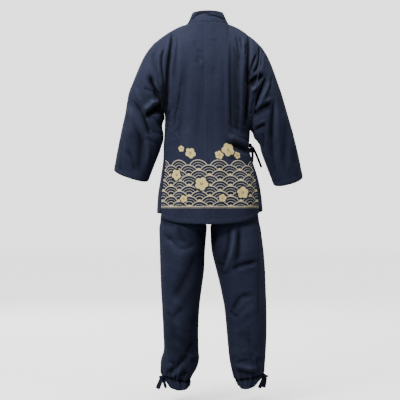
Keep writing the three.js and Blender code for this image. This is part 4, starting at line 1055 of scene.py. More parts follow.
def makeFront(name, which, seed):
    form = frontPanels
    side = 1 if which == "left" else -1
    v = bodyRows()[:, None]
    share = np.linspace(0, 1, int(form["width"] / cloth["spacing"]) + 1)[None, :]
    s = mix(wrapLine(side, v[:, 0])[:, None], float(side), share)
    panel = Panel(bodyPoint("front", s, v), facing=side)
    panel.ease(armpitRow, 7, passes=40)
    fold = foldRelief(form["folds"], panel.x, panel.z) * panel.quiet() * ramp(0, 24, panel.v)
    crease = foldRelief(form["creases"], panel.x, panel.z) * panel.calm(*sewnEdges)
    small = strewFolds(seed, *form["strewn"])
    crease += foldRelief(small, panel.u, panel.v) * panel.calm(*sewnEdges)
    if side > 0:  # where it lies on the other front, it has ridges more than troughs
        free = ramp(*form["free"], panel.x)
        panel.relief += leftLift(panel.x, panel.z)
        trough = fold * mix(form["heldTrough"], 1, free)
        panel.relief += np.where(fold < 0, trough, fold * form["heldRidge"])
        panel.relief += np.where(crease < 0, crease * mix(form["heldCrease"], 1, free), crease)
    else:
        bared = ramp(*form["bared"], -panel.x)
        panel.relief += np.minimum(fold, 0) * bared + np.minimum(crease, 0) * bared
    panel.ripple(form["ripple"][which], seed, panel.calm(*sewnEdges, reach=22))
    panel.seam("left", allowance=False, seed=seed)
    panel.seam("right", allowance=True, seed=seed + 5)
    panel.seam("top", allowance=True, seed=seed + 9)
    panel.hem("bottom", seed=seed + 3)
    sewPanel(name, panel, jacketCotton, "navy_cotton", restsOn=["collar"], sewn=("right", "top"))
    return panel


frontLeft = makeFront("jacket_front_left", "left", 31)
frontRight = makeFront("jacket_front_right", "right", 43)
print("fronts made")

collarForm = {
    # the share of the height from which the band begins to stand up
    "standsLeft": 0.72,
    "standsRight": 0.82,
    "steps": 18,
    "neckCloth": 200,
    "thickness": 2.4,
    "tuck": 4,
    # where the standing band bends over behind the neck
    "bends": [
        (3.4, 3, -3.2, 70, 2, 60, 14, 44, 25, 20, 30, -8, 30),
        (2.6, 3.4, -3.0, 12, 22, -12, 20, -34, 15, -60, 5),
        (5, 5, -1.6, 60, 24, 30, 36, 0, 38, -40, 26),
    ],
    # how dark the bends are painted: painted shade
    "bendShade": 1.1,
    # the crease along the band: where, as a share of its width, depth and half-width
    "pressed": (0.62, 0.35, 1.5),
    # depth and half-width to which each edge is rounded
    "topEdge": (1.1, 1.8),
    "footEdge": (0.3, 1.6),
    "wearWidth": 2.4,
    "lean": (0.42, 0.36, 0.9),  # of the standing band: inwards at the sides and behind, and up
    "strewn": (60, (40, 1700, 4, 44), 70, 30, (14, 36), (2.5, 4.5), (0.2, 0.5)),
    "ripple": 0.35,
}


def makeCollar():
    form, fronts, body = collarForm, frontPanels, bodyForm
    width = fronts["collarWidth"]
    w = np.linspace(0, width, form["steps"] + 1)[:, None]

    def standing(x):
        across = np.clip((x - body["neckX"]) / body["neckHalf"], -1, 1)
        behind = np.sqrt(1 - across * across)
        atSides, atBack, up = form["lean"]
        return unit(stack(-atSides * across, -atBack * behind, up))

    def onFront(side):
        v = bodyRows()

        def footAt(v):
            out = fronts["rightCollarLift"] + 0 * v
            if side > 0:
                out = mix(fronts["leftCollarLift"], fronts["rightCollarLift"], ramp(0.82, 1, v))
            s = wrapLine(side, v) - side * 0.3 / mix(400, 150, v)
            return bodyOffset("front", s, v, out) + stack(0 * v, 0 * v, 0.9 * ramp(0.95, 1, v)), out

        foot, out = footAt(v)
        along = footAt(np.minimum(v + 0.01, 1))[0] - footAt(np.maximum(v - 0.01, 0))[0]
        stands = form["standsLeft"] if side > 0 else form["standsRight"]
        lies = (1 - ramp(stands, 1, v))[None, :, None]
        flat = unit(stack(-side * along[:, 2], 0 * v, side * along[:, 0]))
        onChest = foot[None] + flat[None] * w[..., None]
        onChest = frontAt(onChest[..., 0], onChest[..., 2], np.broadcast_to(out, onChest.shape[:2]))
        stood = foot[None] + standing(foot[:, 0])[None] * w[..., None]
        way = mix(stood, onChest, lies) - foot[None]
        way[0] = 0
        return foot[None] + np.where(w[..., None] > 0, unit(way) * w[..., None], 0)

    turn = np.linspace(0, math.pi, int(form["neckCloth"] / cloth["spacing"]) + 1)[1:-1]
    x = body["neckX"] + body["neckHalf"] * np.cos(turn)
    foot = shoulderLine(x, ringPoint(armhole(np.ones_like(x)), 0 * x))
    foot[:, 2] += 0.3 * (1.7 + 2 * ((x - body["neckX"]) / body["neckHalf"]) ** 8)
    behind = foot[None] + standing(x)[None] * w[..., None]
    panel = Panel(np.concatenate([onFront(1), behind, onFront(-1)[:, ::-1]], 1), facing=1)
    calm = panel.calm("bottom", reach=8)
    panel.ripple(form["ripple"], 51, calm)
    # a pressed crease runs the length of the band, and the cloth eases round the neck
    bend = creaseRelief(form["bends"], panel.x, panel.z) * ramp(10, 30, panel.y)
    # the bends are also painted with shade
    panel.dark -= form["bendShade"] * bend
    share, depth, half = form["pressed"]
    panel.relief += bend - depth * bell(panel.v - share * width, half)
    panel.relief += foldRelief(strewFolds(55, *form["strewn"]), panel.u, panel.v) * calm
    for edge, (depth, half) in (("top", form["topEdge"]), ("bottom", form["footEdge"])):
        panel.relief -= depth * bell(panel.edge(edge), half)
    panel.wear = np.maximum(panel.wear, bell(panel.edge("top"), form["wearWidth"]))
    sewPanel("collar", panel, collarCotton, "collar_cotton", "folded", ["jacket_front_left"],
             thickness=form["thickness"], tuck=form["tuck"])
    return panel


collar = makeCollar()
print("collar made")


def makeSleeve(name, which, seed):
    side = 1 if which == "left" else -1
    table, form, own = sleeveForm[which], sleeveFolds, sleeveFolds[which]
    around, along = int(form["around"] / cloth["spacing"]), int(form["along"] / cloth["spacing"])
    places = np.linspace(0, 1, len(table["y"]))
    v = np.linspace(0, 1, along + 1)[:, None]
    section = {key: curveAt(v, places, values) for key, values in table.items()}
    turn = (-side * 2 * math.pi * np.arange(around) / around)[None, :]
    panel = Panel(ringPoint(section, turn, mix(1, 0.88, ramp(0, 0.3, v))), facing=1, wrap=True)
    behind, facing = np.sin(turn) > 0, np.abs(np.sin(turn))
    z = np.where(behind, panel.z, panel.z - form["frontDrop"])
    share = np.where(behind, 1, form["frontShare"])
    folds = foldRelief(own["folds"], panel.x, z)
    calm = ramp(0.15, 0.6, facing) * ramp(0, 0.08, v) * (1 - ramp(0.94, 1, v))
    creases = creaseRelief(own["creases"], panel.x, z)
    panel.relief += (folds * calm + creases * ramp(0.1, 0.4, facing) * ramp(0, 0.01, v)) * share
    # painted shadow under the arm, on the back of the sleeve
    panel.dark += creaseRelief(own["shadows"], panel.x, panel.z) * np.where(behind, 1, 0)
    small = strewFolds(seed, *form["strewn"])
    panel.relief += foldRelief(small, panel.u, panel.v) * panel.calm("bottom", "top", "left", "right")
    height, reach, rise = own["sag"]
    panel.relief += rise * ramp(0.3, 0.95, -np.cos(turn)) * bell(panel.z - height, reach)
    ends = panel.calm("bottom", "top", reach=20) * panel.calm("left", "right", reach=30)
    panel.ripple(form["ripple"], seed, ends)
    panel.seam("bottom", allowance=False, seed=seed)
    panel.hem("top", depth=form["cuffHem"], seed=seed + 3)
    # the sleeve's own seam runs along the underarm
    under = np.abs(np.mod(turn, 2 * math.pi) - math.pi) * panel.girth / (2 * math.pi)
    panel.relief -= bell(under, cloth["seamWidth"]) * ramp(0, 4, panel.v)
    sewPanel(name, panel, jacketCotton, "navy_cotton", "hung", ["jacket_back_" + which], sewn=("bottom",))
    return panel


sleeveLeft = makeSleeve("sleeve_left", "left", 61)
sleeveRight = makeSleeve("sleeve_right", "right", 73)
print("sleeves made")

legForm = {
    # heights of the sections, from the hem to the waist
    "z": [
        -1336, -1327, -1317, -1303, -1280, -1250, -1215, -1147, -1058, -992, -925, -844, -760, -708,
        -650, -590, -500, -430, -392,
    ],
    "left": {
        "outer": [
            158, 166, 174, 180, 181, 179, 169, 172, 176, 179, 182, 185, 186, 182, 171, 158, 144, 134,
            131,
        ],
        "inner": [
            70, 70, 70, 62, 47, 38, 40, 41, 37, 29, 20, 16, 9, 6, -70, -138, -132, -123, -120,
        ],
        "back": [
            60, 58, 55, 60, 68, 73, 75, 79, 84, 88, 95, 105, 103, 103.5, 101.5, 96, 90, 86, 83,
        ],
        "front": [
            62, 60, 57, 61, 67, 71, 73, 76, 82, 88, 93, 99, 96, 93, 92, 90, 88, 88, 85,
        ],
        "y": [-2, -2, -2, -1] + [0] * 5 + [1, 2, 3] + [4] * 7,
        "dip": [22, 10, 4, 3, 2] + [0] * 14,
        "tilt": [4, 5, 5, 4, 2] + [0] * 14,
        "gather": [2, 3, 4.5, 4, 2] + [0] * 12 + [2, 3],
    },
    "right": {
        "outer": [
            -176, -190, -202, -205, -206, -208, -210, -213, -213, -210, -207, -201, -190, -183, -168,
            -150, -133, -123, -120,
        ],
        "inner": [
            -106, -100, -92, -86, -80, -74, -70, -64, -55, -43, -27, -8, -3, -1, 76, 148, 143, 134, 131,
        ],
        "back": [
            60, 58, 56, 61, 68, 73, 76, 80, 85, 89, 96, 106, 103, 100, 98, 96, 90, 86, 83,
        ],
        "front": [
            62, 60, 58, 61, 66, 71, 74, 78, 83, 88, 93, 99, 96, 93, 92, 90, 88, 88, 85,
        ],
        "y": [-4, -4, -4, -3, -2, -1, 0, 0, 0, 1, 2, 3] + [4] * 7,
        "dip": [17, 10, 4, 3, 2] + [0] * 14,
        "tilt": [6, 6, 4, 2] + [0] * 15,
        "gather": [2, 3, 4.5, 4, 2] + [0] * 12 + [2, 3],
    },
    "width": 225,
    "height": 960,
    "middle": 3,
    "outseam": 62,
    "gathers": 9,
    "roundness": 0.94,
    "casing": 11,
    "tieHeight": -1315,
    "tieX": 130,
    "tieSlope": 0.2,  # the drawn hem is pulled up at the tie
    "tieGroove": (3.0, 2.6),  # depth and half-width
    # painted shade at the tie
    "tieShade": (1.8, 5, 0.7),  # in the groove, its half-width, and below it
    # gathers at the tie: count, phase, rise
    "gathered": [(13, 0, 1.5), (23, 1, 0.7)],
    "gatherLength": (26, 22),  # how far up they run, and how unevenly
    "gatherUneven": (0.3, 0.7),  # in place and in rise
    "clearOfJacket": 2.5,
    "foldShare": 0.5,
    "creaseShare": 0.55,
    "under": -745,  # the height from which the jacket covers it
    "ripple": 0.9,
    "strewn": (34, (10, 200, 60, 640), 20, 50, (40, 120), (5, 9), (0.12, 0.45)),
    "strewnAtHem": (26, (10, 170, 20, 150), 60, 40, (24, 60), (3.5, 6), (0.3, 0.8)),
    # broad painted shade on the backs, and painted light where the depth is below 0: half-width at either
    # end, depth, line
    "shades": {
        "left": [
            (26, 34, 1.5, 30, -870, 62, -930, 96, -980, 126, -1026),
            (46, 50, 1.5, 44, -1000, 56, -1140, 60, -1270),
            (44, 54, 1.3, 150, -1080, 130, -1160, 120, -1270),
            (24, 26, 1.1, 130, -764, 90, -786, 30, -790), (15, 17, 2.2, 34, -756, 22, -820, 26, -880),
            (30, 30, -2.0, 140, -845, 108, -866, 118, -920),
        ],
        "right": [
            (50, 56, 0.45, -90, -1040, -110, -1160, -120, -1270),
            (30, 34, 0.4, -184, -1040, -186, -1160, -180, -1280),
            (22, 20, 1.7, -12, -756, -28, -850, -50, -940), (30, 30, -0.8, -126, -790, -140, -850),
            (30, 30, -0.6, -150, -930, -140, -990), (12, 14, 0.5, -86, -924, -128, -900, -170, -892),
            (20, 24, 0.5, -76, -1076, -100, -1060, -120, -1040),
        ],
    },
}
legFolds = {
    "back": {
        "folds": [
            (166, -790, 50, -822, 14, -5), (40, -850, 128, -1040, 26, -8),
            (44, -980, 136, -1100, 24, -5), (60, -930, 140, -1060, 20, 4),
            (48, -1240, 108, -1300, 11, -7), (74, -1215, 146, -1292, 12, -7),
            (172, -1222, 150, -1276, 11, 6), (140, -1150, 60, -1210, 16, -4),
            (-88, -765, -78, -905, 13, 6), (-108, -770, -104, -890, 13, -5),
            (-172, -884, -90, -910, 12, -6), (-156, -1005, -84, -1060, 14, -7),
            (-160, -1050, -100, -1096, 15, 4), (-94, -1262, -170, -1280, 11, 5),
            (-92, -1288, -166, -1300, 9, -5), (-100, -1140, -180, -1210, 16, -4),
        ],
        "creases": [
            (6, 8, -7, 168, -784, 132, -812, 98, -836, 48, -820),
            (8, 8, -4, 114, -756, 104, -790, 84, -814), (12, 13, 4, 152, -804, 122, -850, 88, -870),
            (12, 20, -8, 46, -852, 74, -918, 104, -966, 138, -1018),
            (14, 16, 4, 60, -962, 92, -1010, 124, -1052),
            (7, 10, -4, 160, -1070, 134, -1082, 98, -1050),
            (12, 14, -6, 58, -1080, 66, -1160, 62, -1240),
            (12, 12, 4, 120, -1090, 112, -1150, 118, -1210),
            (8, 9, 3.4, 168, -880, 166, -980, 162, -1100),
            (5, 6, -5, 152, -1248, 138, -1255, 122, -1256),
            (5, 8, -7, 162, -1304, 140, -1284, 112, -1262, 82, -1230),
            (5, 7, 5, 152, -1310, 118, -1296, 92, -1280, 62, -1250),
            (5, 6, -5.5, 134, -1312, 104, -1304, 74, -1290),
            (6, 7, -5, 174, -1220, 166, -1240, 150, -1272),
            (6, 7, -3.6, 96, -1216, 76, -1206, 56, -1180),
            (7, 6, 8, -90, -757, -86, -820, -70, -880, -52, -924),
            (7, 8, -6, -71, -757, -64, -830, -50, -884), (7, 7, -6, -105, -762, -104, -830, -92, -898),
            (7, 7, 3, -34, -770, -30, -830, -38, -880),
            (4, 6, -7, -170, -882, -130, -889, -104, -896, -78, -914),
            (6, 7, 3.6, -168, -900, -130, -908, -98, -918),
            (4, 4, -4.5, -22, -884, -42, -892, -58, -896), (4, 4, -4, -44, -922, -56, -925, -68, -926),
            (5, 7, -7.5, -144, -1001, -115, -1011, -94, -1034, -79, -1064),
            (6, 8, 5.5, -154, -1016, -122, -1034, -96, -1062),
            (4, 5, -6, -73, -1065, -88, -1078, -106, -1087),
            (5, 8, -5, -176, -714, -179, -800, -180, -900, -180, -1000, -181, -1120),
            (12, 12, 3.6, -96, -1120, -92, -1180, -98, -1240),
            (10, 12, -3.6, -140, -1130, -146, -1200, -150, -1260),
            (4, 5, -3.6, -97, -1279, -130, -1290, -170, -1294),
            (6, 7, 4, -100, -1268, -140, -1277, -176, -1274),
            (5, 6, -4, -94, -1260, -112, -1249, -142, -1244),
            (5, 6, -4, -182, -1230, -176, -1262, -186, -1296),
        ],
    },
    "front": {
        "folds": [
            (170, -800, 60, -850, 15, -6), (46, -900, 150, -1010, 18, -7),
            (60, -1060, 160, -1090, 16, 6), (60, -1180, 150, -1240, 14, -7),
            (70, -1250, 150, -1282, 12, 6), (-170, -800, -40, -850, 15, -6),
            (-50, -920, -180, -1000, 18, -7), (-80, -1060, -190, -1090, 16, 6),
            (-90, -1180, -180, -1240, 14, -7), (-95, -1250, -180, -1280, 12, 6),
        ],
        "creases": [
            (7, 9, -5, 160, -770, 110, -796, 60, -800), (8, 10, -6, 30, -860, 66, -906, 110, -930),
            (9, 10, 4, 60, -890, 96, -930, 140, -950), (7, 9, -6, 80, -960, 130, -990, 160, -1040),
            (7, 8, -4, 60, -1100, 110, -1130, 160, -1136),
            (6, 7, -5, 70, -1210, 120, -1236, 150, -1270), (6, 6, 4, 60, -1240, 100, -1270, 130, -1300),
            (5, 6, -4.5, 60, -1276, 90, -1296, 124, -1302),
            (7, 9, -5, -160, -770, -110, -792, -40, -800),
            (8, 10, -6, -50, -860, -90, -906, -140, -930),
            (9, 10, 4, -70, -890, -120, -930, -170, -944),
            (7, 9, -6, -90, -960, -140, -990, -190, -1040),
            (7, 8, -4, -80, -1100, -130, -1128, -190, -1136),
            (6, 7, -5, -100, -1210, -150, -1236, -180, -1270),
            (6, 6, 4, -96, -1246, -130, -1274, -170, -1290),
            (5, 6, -4.5, -100, -1276, -130, -1296, -170, -1300),
        ],
    },
}


def legSection(which, z):
    section = {key: curveAt(z, legForm["z"], values) for key, values in legForm[which].items()}
    middle = (section["outer"] + section["inner"]) / 2
    return section, middle, np.abs(section["outer"] - section["inner"]) / 2


def legPoint(which, turn, z):
    section, middle, half = legSection(which, z)
    side = 1 if which == "left" else -1
    out, ahead = ovalArc(turn, legForm["roundness"])
    depth = np.where(ahead > 0, section["back"], section["front"])
    wave = section["gather"] * np.cos(legForm["gathers"] * turn) * ramp(0, 0.4, np.abs(ahead))
    return stack(
        middle + side * (half + wave * 0.5) * out,
        section["y"] + (depth + wave) * ahead,
        z - section["dip"] * ahead + section["tilt"] * out,
    )


def makeLeg(which, face, seed):
    form, own = legForm, legFolds[face]
    side, back = 1 if which == "left" else -1, face == "back"
    count = int(form["height"] / cloth["spacing"]) + 1
    z = np.linspace(form["z"][0], form["z"][-1] - 0.3, count)[:, None]
    section, middle, half = legSection(which, z)
    reach = side * (middle - form["middle"]) / half
    cut = np.arcsin(powered(np.clip(reach, -1, 1), 1 / form["roundness"]))
    inner = -cut if back else math.pi + cut
    outer = math.radians(form["outseam"]) + 0 * half
    turn = mix(inner, outer, np.linspace(0, 1, int(form["width"] / cloth["spacing"]) + 1)[None, :])
    panel = Panel(legPoint(which, turn, z), facing=-side if back else side)
    quiet = panel.calm("left", reach=22) * panel.calm("right", reach=22)
    panel.relief += form["foldShare"] * foldRelief(own["folds"], panel.x, panel.z) * quiet
    creases = creaseRelief(own["creases"], panel.x, panel.z, soft=1.35)
    panel.relief += form["creaseShare"] * creases * panel.calm("left", "right")
    if back:
        # broad painted shade, and painted light where a depth is below 0
        panel.dark += creaseRelief(form["shades"][which], panel.x, panel.z, soft=1.1)
    # uneven gathers run up from the tied casing
    turns = np.mod(turn, 2 * math.pi)
    astray, uneven = form["gatherUneven"]
    warp = turns + astray * lineNoise(turns * 60, 34, seed)
    height = panel.z + section["dip"] * np.cos(turn)
    rise = height - form["tieHeight"] - form["tieSlope"] * (np.abs(panel.x) - form["tieX"])
    length = form["gatherLength"][0] + form["gatherLength"][1] * lineNoise(turns * 100, 22, seed + 4)
    grip = np.where(rise > 0, np.exp(-np.maximum(rise, 0) / np.maximum(length, 8)), np.exp(rise / 14))
    uneven = 1 + uneven * lineNoise(turns * 70, 18, seed + 6)
    for number, phase, tall in form["gathered"]:
        panel.relief += tall * np.cos(number * warp + phase) * grip * uneven
    depth, half = form["tieGroove"]
    panel.relief -= depth * bell(rise, half)
    # painted shade in the tie's groove and below it
    depth, half, below = form["tieShade"]
    panel.dark += depth * bell(rise, half) + below * (1 - ramp(-4, 4, rise))
    small = strewFolds(seed, *form["strewn"]) + strewFolds(seed + 1, *form["strewnAtHem"])
    panel.relief += foldRelief(small, panel.u, panel.v) * panel.calm("left", "right")
    panel.ripple(form["ripple"], seed, panel.calm("left", "right", reach=22))
    covered = panel.z > form["under"]
    panel.relief = np.where(covered, np.minimum(panel.relief, 0), panel.relief)
    panel.relief -= form["clearOfJacket"] * ramp(form["under"] - 20, form["under"] + 5, panel.z)
    panel.seam("left", allowance=False, seed=seed)
    panel.seam("right", allowance=back, seed=seed + 5)
    panel.hem("bottom", depth=form["casing"], seed=seed + 3)
    name = "trouser_" + face + "_" + which
    sewPanel(name, panel, trouserCotton, "trouser_cotton", "hung", ["waistband"], sewn=("left", "right"))
    return panel


legs = [
    makeLeg("left", "back", 81), makeLeg("left", "front", 83),
    makeLeg("right", "back", 85), makeLeg("right", "front", 87),
]

waistForm = {
    "low": -392, "high": -356, "columns": 260, "rows": 13,
    "middle": (5.5, 4), "half": 125.5, "back": 83, "front": 85,
    "tucks": 44, "tuckRise": 0.8, "seams": (0.25, 0.5, 0.75), "seamDepth": 0.5, "thickness": 2.0,
}


def makeWaistband():
    form = waistForm
    turn = -2 * math.pi * np.arange(form["columns"])[None, :] / form["columns"]
    v = np.linspace(0, 1, form["rows"])[:, None]
    out, ahead = ovalArc(turn, legForm["roundness"])
    depth = np.where(ahead > 0, form["back"], form["front"])
    (x, y), tall = form["middle"], form["high"] - form["low"]
    points = stack(x + form["half"] * out, y + depth * ahead, mix(form["low"], form["high"], v))
    panel = Panel(points, facing=1, wrap=True)
    tuck = np.cos(form["tucks"] * (turn + 0.05 * lineNoise(turn * 40, 20, 91)))
    panel.relief += form["tuckRise"] * tuck - form["tuckRise"]
    for share in form["seams"]:
        panel.relief -= form["seamDepth"] * bell((v - share) * tall, 1.4)
    sewPanel("waistband", panel, trouserCotton, "trouser_cotton", "gathered", ["trouser_back_left"],
             thickness=form["thickness"])


makeWaistband()
print("trousers made")


def smoothPath(points, count):
    points = np.asarray(points, float)
    steps = np.linalg.norm(np.diff(points, axis=0), axis=1)
    places = np.concatenate([[0], np.cumsum(steps)])
    at = np.linspace(0, places[-1], count)
    return np.stack([curveAt(at, places, points[:, k]) for k in range(3)], 1)


def shutGrid(rows, columns):  # the faces of a tube with both ends shut
    index = np.arange(rows * columns).reshape(rows, columns)
    return gridQuads(rows, columns, True).tolist() + [index[0][::-1].tolist(), index[-1].tolist()]


tapeForm = {"sides": 20, "flatness": (0.55, 0.8), "crumple": 0.05, "dent": 0.25, "wear": 0.6}


def tapeMesh(route, across, width, thickness, seed, count=44):
    # a strap of folded cloth: an oval section along a route, its ends turned in
    form = tapeForm
    line = smoothPath(route, count)
    way = unit(np.gradient(line, axis=0))
    flat = np.broadcast_to(np.asarray(across, float), way.shape)
    flat = unit(flat - way * (flat * way).sum(1, keepdims=True))
    thin = np.cross(way, flat)
    turn = 2 * math.pi * np.arange(form["sides"]) / form["sides"]
    wide = powered(np.cos(turn), form["flatness"][0]) * width / 2
    deep = powered(np.sin(turn), form["flatness"][1]) * thickness / 2
    length = float(np.linalg.norm(np.diff(line, axis=0), axis=1).sum())
    at = np.linspace(0, length, count)[:, None]
    crumple = 1 + form["crumple"] * softNoise(at, 0 * at + seed, 9, seed)
    dent = form["dent"] * softNoise(at, 0 * at + 3, 7, seed + 2)
    end = np.minimum(ramp(-0.6, 1.2, at), ramp(-0.6, 1.2, length - at))
    points = (
        line[:, None]
        + flat[:, None] * (wide[None] * crumple * end)[..., None]
        + thin[:, None] * (deep[None] * (0.6 + 0.4 * end) + dent)[..., None]
    )
    around = np.abs(np.mod(turn / math.pi + 1, 2) - 1)[None] * width
    wear = form["wear"] * bell(np.abs(np.cos(turn)) - 1, 0.08)[None] + 0 * at
    return points.reshape(-1, 3), shutGrid(count, form["sides"]), stack(around, at), wear, length


knotForm = {
    "rows": 26,
    "columns": 36,
    "pole": 0.02,
    # shares of its size
    "core": 0.86,
    "lobes": 0.10,
    "wraps": 0.07,
    "crumple": 0.03,
}


def knotMesh(middle, size, seed):
    # cloth pulled tight round itself: slanting lobes with creases between
    form = knotForm
    rows, columns, pole = form["rows"], form["columns"], form["pole"]
    theta = np.linspace(pole, math.pi - pole, rows)[:, None]
    phi = 2 * math.pi * np.arange(columns)[None, :] / columns
    lobes = form["lobes"] * np.abs(np.sin(1.5 * phi + 1.2 * np.cos(theta))) ** 0.6
    wraps = form["wraps"] * np.cos(5 * theta + 1.3 * np.sin(phi + seed))
    rough = softNoise(phi * 9, theta * 9, 3, seed)
    radius = form["core"] + lobes + wraps * np.sin(theta) + form["crumple"] * rough
    points = stack(
        np.sin(theta) * np.cos(phi) * radius * size[0],
        np.sin(theta) * np.sin(phi) * radius * size[1],
        np.cos(theta) * radius * size[2],
    ) + np.asarray(middle)
    faces = [face[::-1] for face in shutGrid(rows, columns)]
    return points.reshape(-1, 3), faces, stack(phi * size[0], theta * size[2]), lobes * 3, 0


def makeTie(name, parts, nodes, form, restsOn):
    faces, start = [], 0
    for place, shape, *_ in parts:
        faces += [[start + k for k in face] for face in shape]
        start += len(place)
    points = np.concatenate([part[0] for part in parts])
    flat = np.concatenate([part[2].reshape(-1, 2) for part in parts])
    wear = np.concatenate([part[3].ravel() for part in parts])
    corners = [k for face in faces for k in face]
    values = (wear, 0 * wear, 0 * wear)
    piece = addObject(name, clothMesh(name, points, faces, flat, corners, values, tieCotton))
    width, length = form["width"] * mm, (sum(part[-1] for part in parts) + form["inKnot"]) * mm
    declare(piece, nodes, "tie_cotton", (width, length), width * length, "hung", restsOn)


sideTie = {
    "height": -455,
    "bowAt": -0.8,  # shares across the front
    "collarEdge": -0.57,
    "seamEdge": -0.985,
    "lift": 9.2,
    "knot": (7, 8, 9),
    "width": 11,
    "inKnot": 50,  # of tape
    # width and thickness of each strap
    "strap": (11, 2),
    "loop": (8, 1.6),
    "endBackSize": (9, 2),
    "endFrontSize": (10, 1.6),
    # steps from the knot's middle: out, back along the hip, up
    "loopBack": [
        (0, 3.4, -9.3), (0.5, 8, -11), (1, 14, -15), (2, 16, -23), (2, 12, -27), (1, 7, -22),
        (0, 3.6, -13),
    ],
    "loopFront": [
        (0, -3.4, -9.3), (0.5, -8, -11), (1, -14, -14), (2, -17, -21), (2, -13, -26), (1, -8, -21),
        (0, -3.6, -13),
    ],
    "endBack": [(7.9, 0.6, -3), (15, 3, -18), (24, 6, -38), (42, 7, -82)],
    "endFront": [(3.5, -9.1, 1), (11, -12, -9), (14, -16, -32), (13, -19, -62)],
}


def makeSideTie():
    form, up = sideTie, np.array([0, 0, 1.0])

    def onHip(s, out):
        return bodyOffset("front", s, heightShare("front", s, form["height"]), out)

    middle = onHip(form["bowAt"], form["lift"])
    out = middle - onHip(form["bowAt"], 0.0)
    out[2] = 0
    out = unit(out)
    back = np.array([out[1], -out[0], 0.0])

    def place(key):
        return [middle + out * o + back * w + np.array([0, 0, rise]) for o, w, rise in form[key]]

    def hipPath(start, stop, lift, rest=2.9):
        shares = (0, 0.33, 0.67, 1)
        lifts = [float(mix(lift, rest, ramp(0, 0.6, np.float64(k)))) for k in shares]
        return [onHip(mix(start, stop, k), lifted) for k, lifted in zip(shares, lifts)]

    fromFront = hipPath(form["collarEdge"], form["bowAt"] + 0.0275, 4.7)
    fromSeam = hipPath(form["seamEdge"], form["bowAt"] - 0.03, 2.9)
    parts = [
        knotMesh(middle, form["knot"], 5),
        tapeMesh(fromFront, up, *form["strap"], 1),
        tapeMesh(fromSeam, up, *form["strap"], 2),
        tapeMesh(place("loopBack"), out, *form["loop"], 3),
        tapeMesh(place("loopFront"), out, *form["loop"], 4),
        tapeMesh(place("endBack"), back * 0.45 + out * 0.8 + up * 0.35, *form["endBackSize"], 5),
        tapeMesh(place("endFront"), out, *form["endFrontSize"], 6),
    ]
    nodes = ["knot", "from_front", "from_seam", "loop_back", "loop_front", "end_back", "end_front"]
    nodes = ["side_tie_" + node for node in nodes]
    makeTie("sideTie", parts, nodes, form, ["jacket_front_right", "jacket_front_left"])


ankleTies = {
    "width": 14,
    "inKnot": 30,
    "knot": (7.4, 7.4, 9),
    "stub": (9, 3.4),  # width and thickness
    "thickness": 2,
    # ends: from x, y of the knot, to x, z, how far back, width
    "left": {
        "turn": 62, "height": -1315, "lift": 6.9, "stubX": 187, "seed": 7,
        "ends": [(2, 1.8, 192, -1356, 2, 17), (-2.4, -1.4, 161, -1354, 2, 11)],
    },
    "right": {
        "turn": 68, "height": -1312, "lift": 5.2, "stubX": -217, "seed": 9,
        "ends": [(2, 1.8, -184, -1354, 2, 14), (-2.4, -1.4, -201, -1353, 0, 14)],
    },
}


def makeAnkleTie(which):
    form, own = ankleTies, ankleTies[which]
    side = 1 if which == "left" else -1
    z = np.array(float(own["height"]))
    on = legPoint(which, np.array(math.radians(own["turn"])), z)
    out = np.array([on[0] - legSection(which, z)[1], on[1], 0.0])
    middle = on + unit(out) * own["lift"]
    start = middle + np.array([side * 3.0, 0, 0])
    stop = np.array([own["stubX"], middle[1], middle[2]])
    parts = [
        knotMesh(middle, form["knot"], own["seed"]),
        tapeMesh([start, (start + stop) / 2, stop], (0, 0, 1), *form["stub"], 11, count=12),
    ]
    for k, (fromX, fromY, x, z, back, width) in enumerate(own["ends"]):
        start = middle + np.array([fromX, fromY, -4.5])
        tip = np.array([x, middle[1] + fromY + back, z])
        half = (start + tip) / 2 + np.array([0, back / 2, 0])
        way = tip - start
        parts.append(tapeMesh([start, half, tip], (-way[2], 0, way[0]), width, form["thickness"], 13 + k))
    name = "ankle_tie_" + which
    nodes = [name + part for part in ("_knot", "_stub", "_end_1", "_end_2")]
    makeTie(name + "_tape", parts, nodes, form, ["trouser_back_" + which])


makeSideTie()
makeAnkleTie("left")
makeAnkleTie("right")
print("ties made")

stitching = {
    "pitch": 3.1,
    "length": 2.3,
    "thread": 0.24,
    # slot, then rows: panels, edge, distance from it
    "jacket_stitches": ("navy_cotton", [
        ((backLeft, backRight), "bottom", 16),
        ((backLeft, backRight), "bottom", 2.2),
        ((frontLeft, frontRight), "bottom", 16),
        ((frontLeft, frontRight), "top", 4),
        ((sleeveLeft, sleeveRight), "top", 19),
    ]),
    "collar_stitches": ("collar_cotton", [((collar,), "bottom", 3), ((collar,), "top", 3.4)]),
    "trouser_stitches": ("trouser_cotton", [(legs, "bottom", 10), (legs, "bottom", 2)]),
}


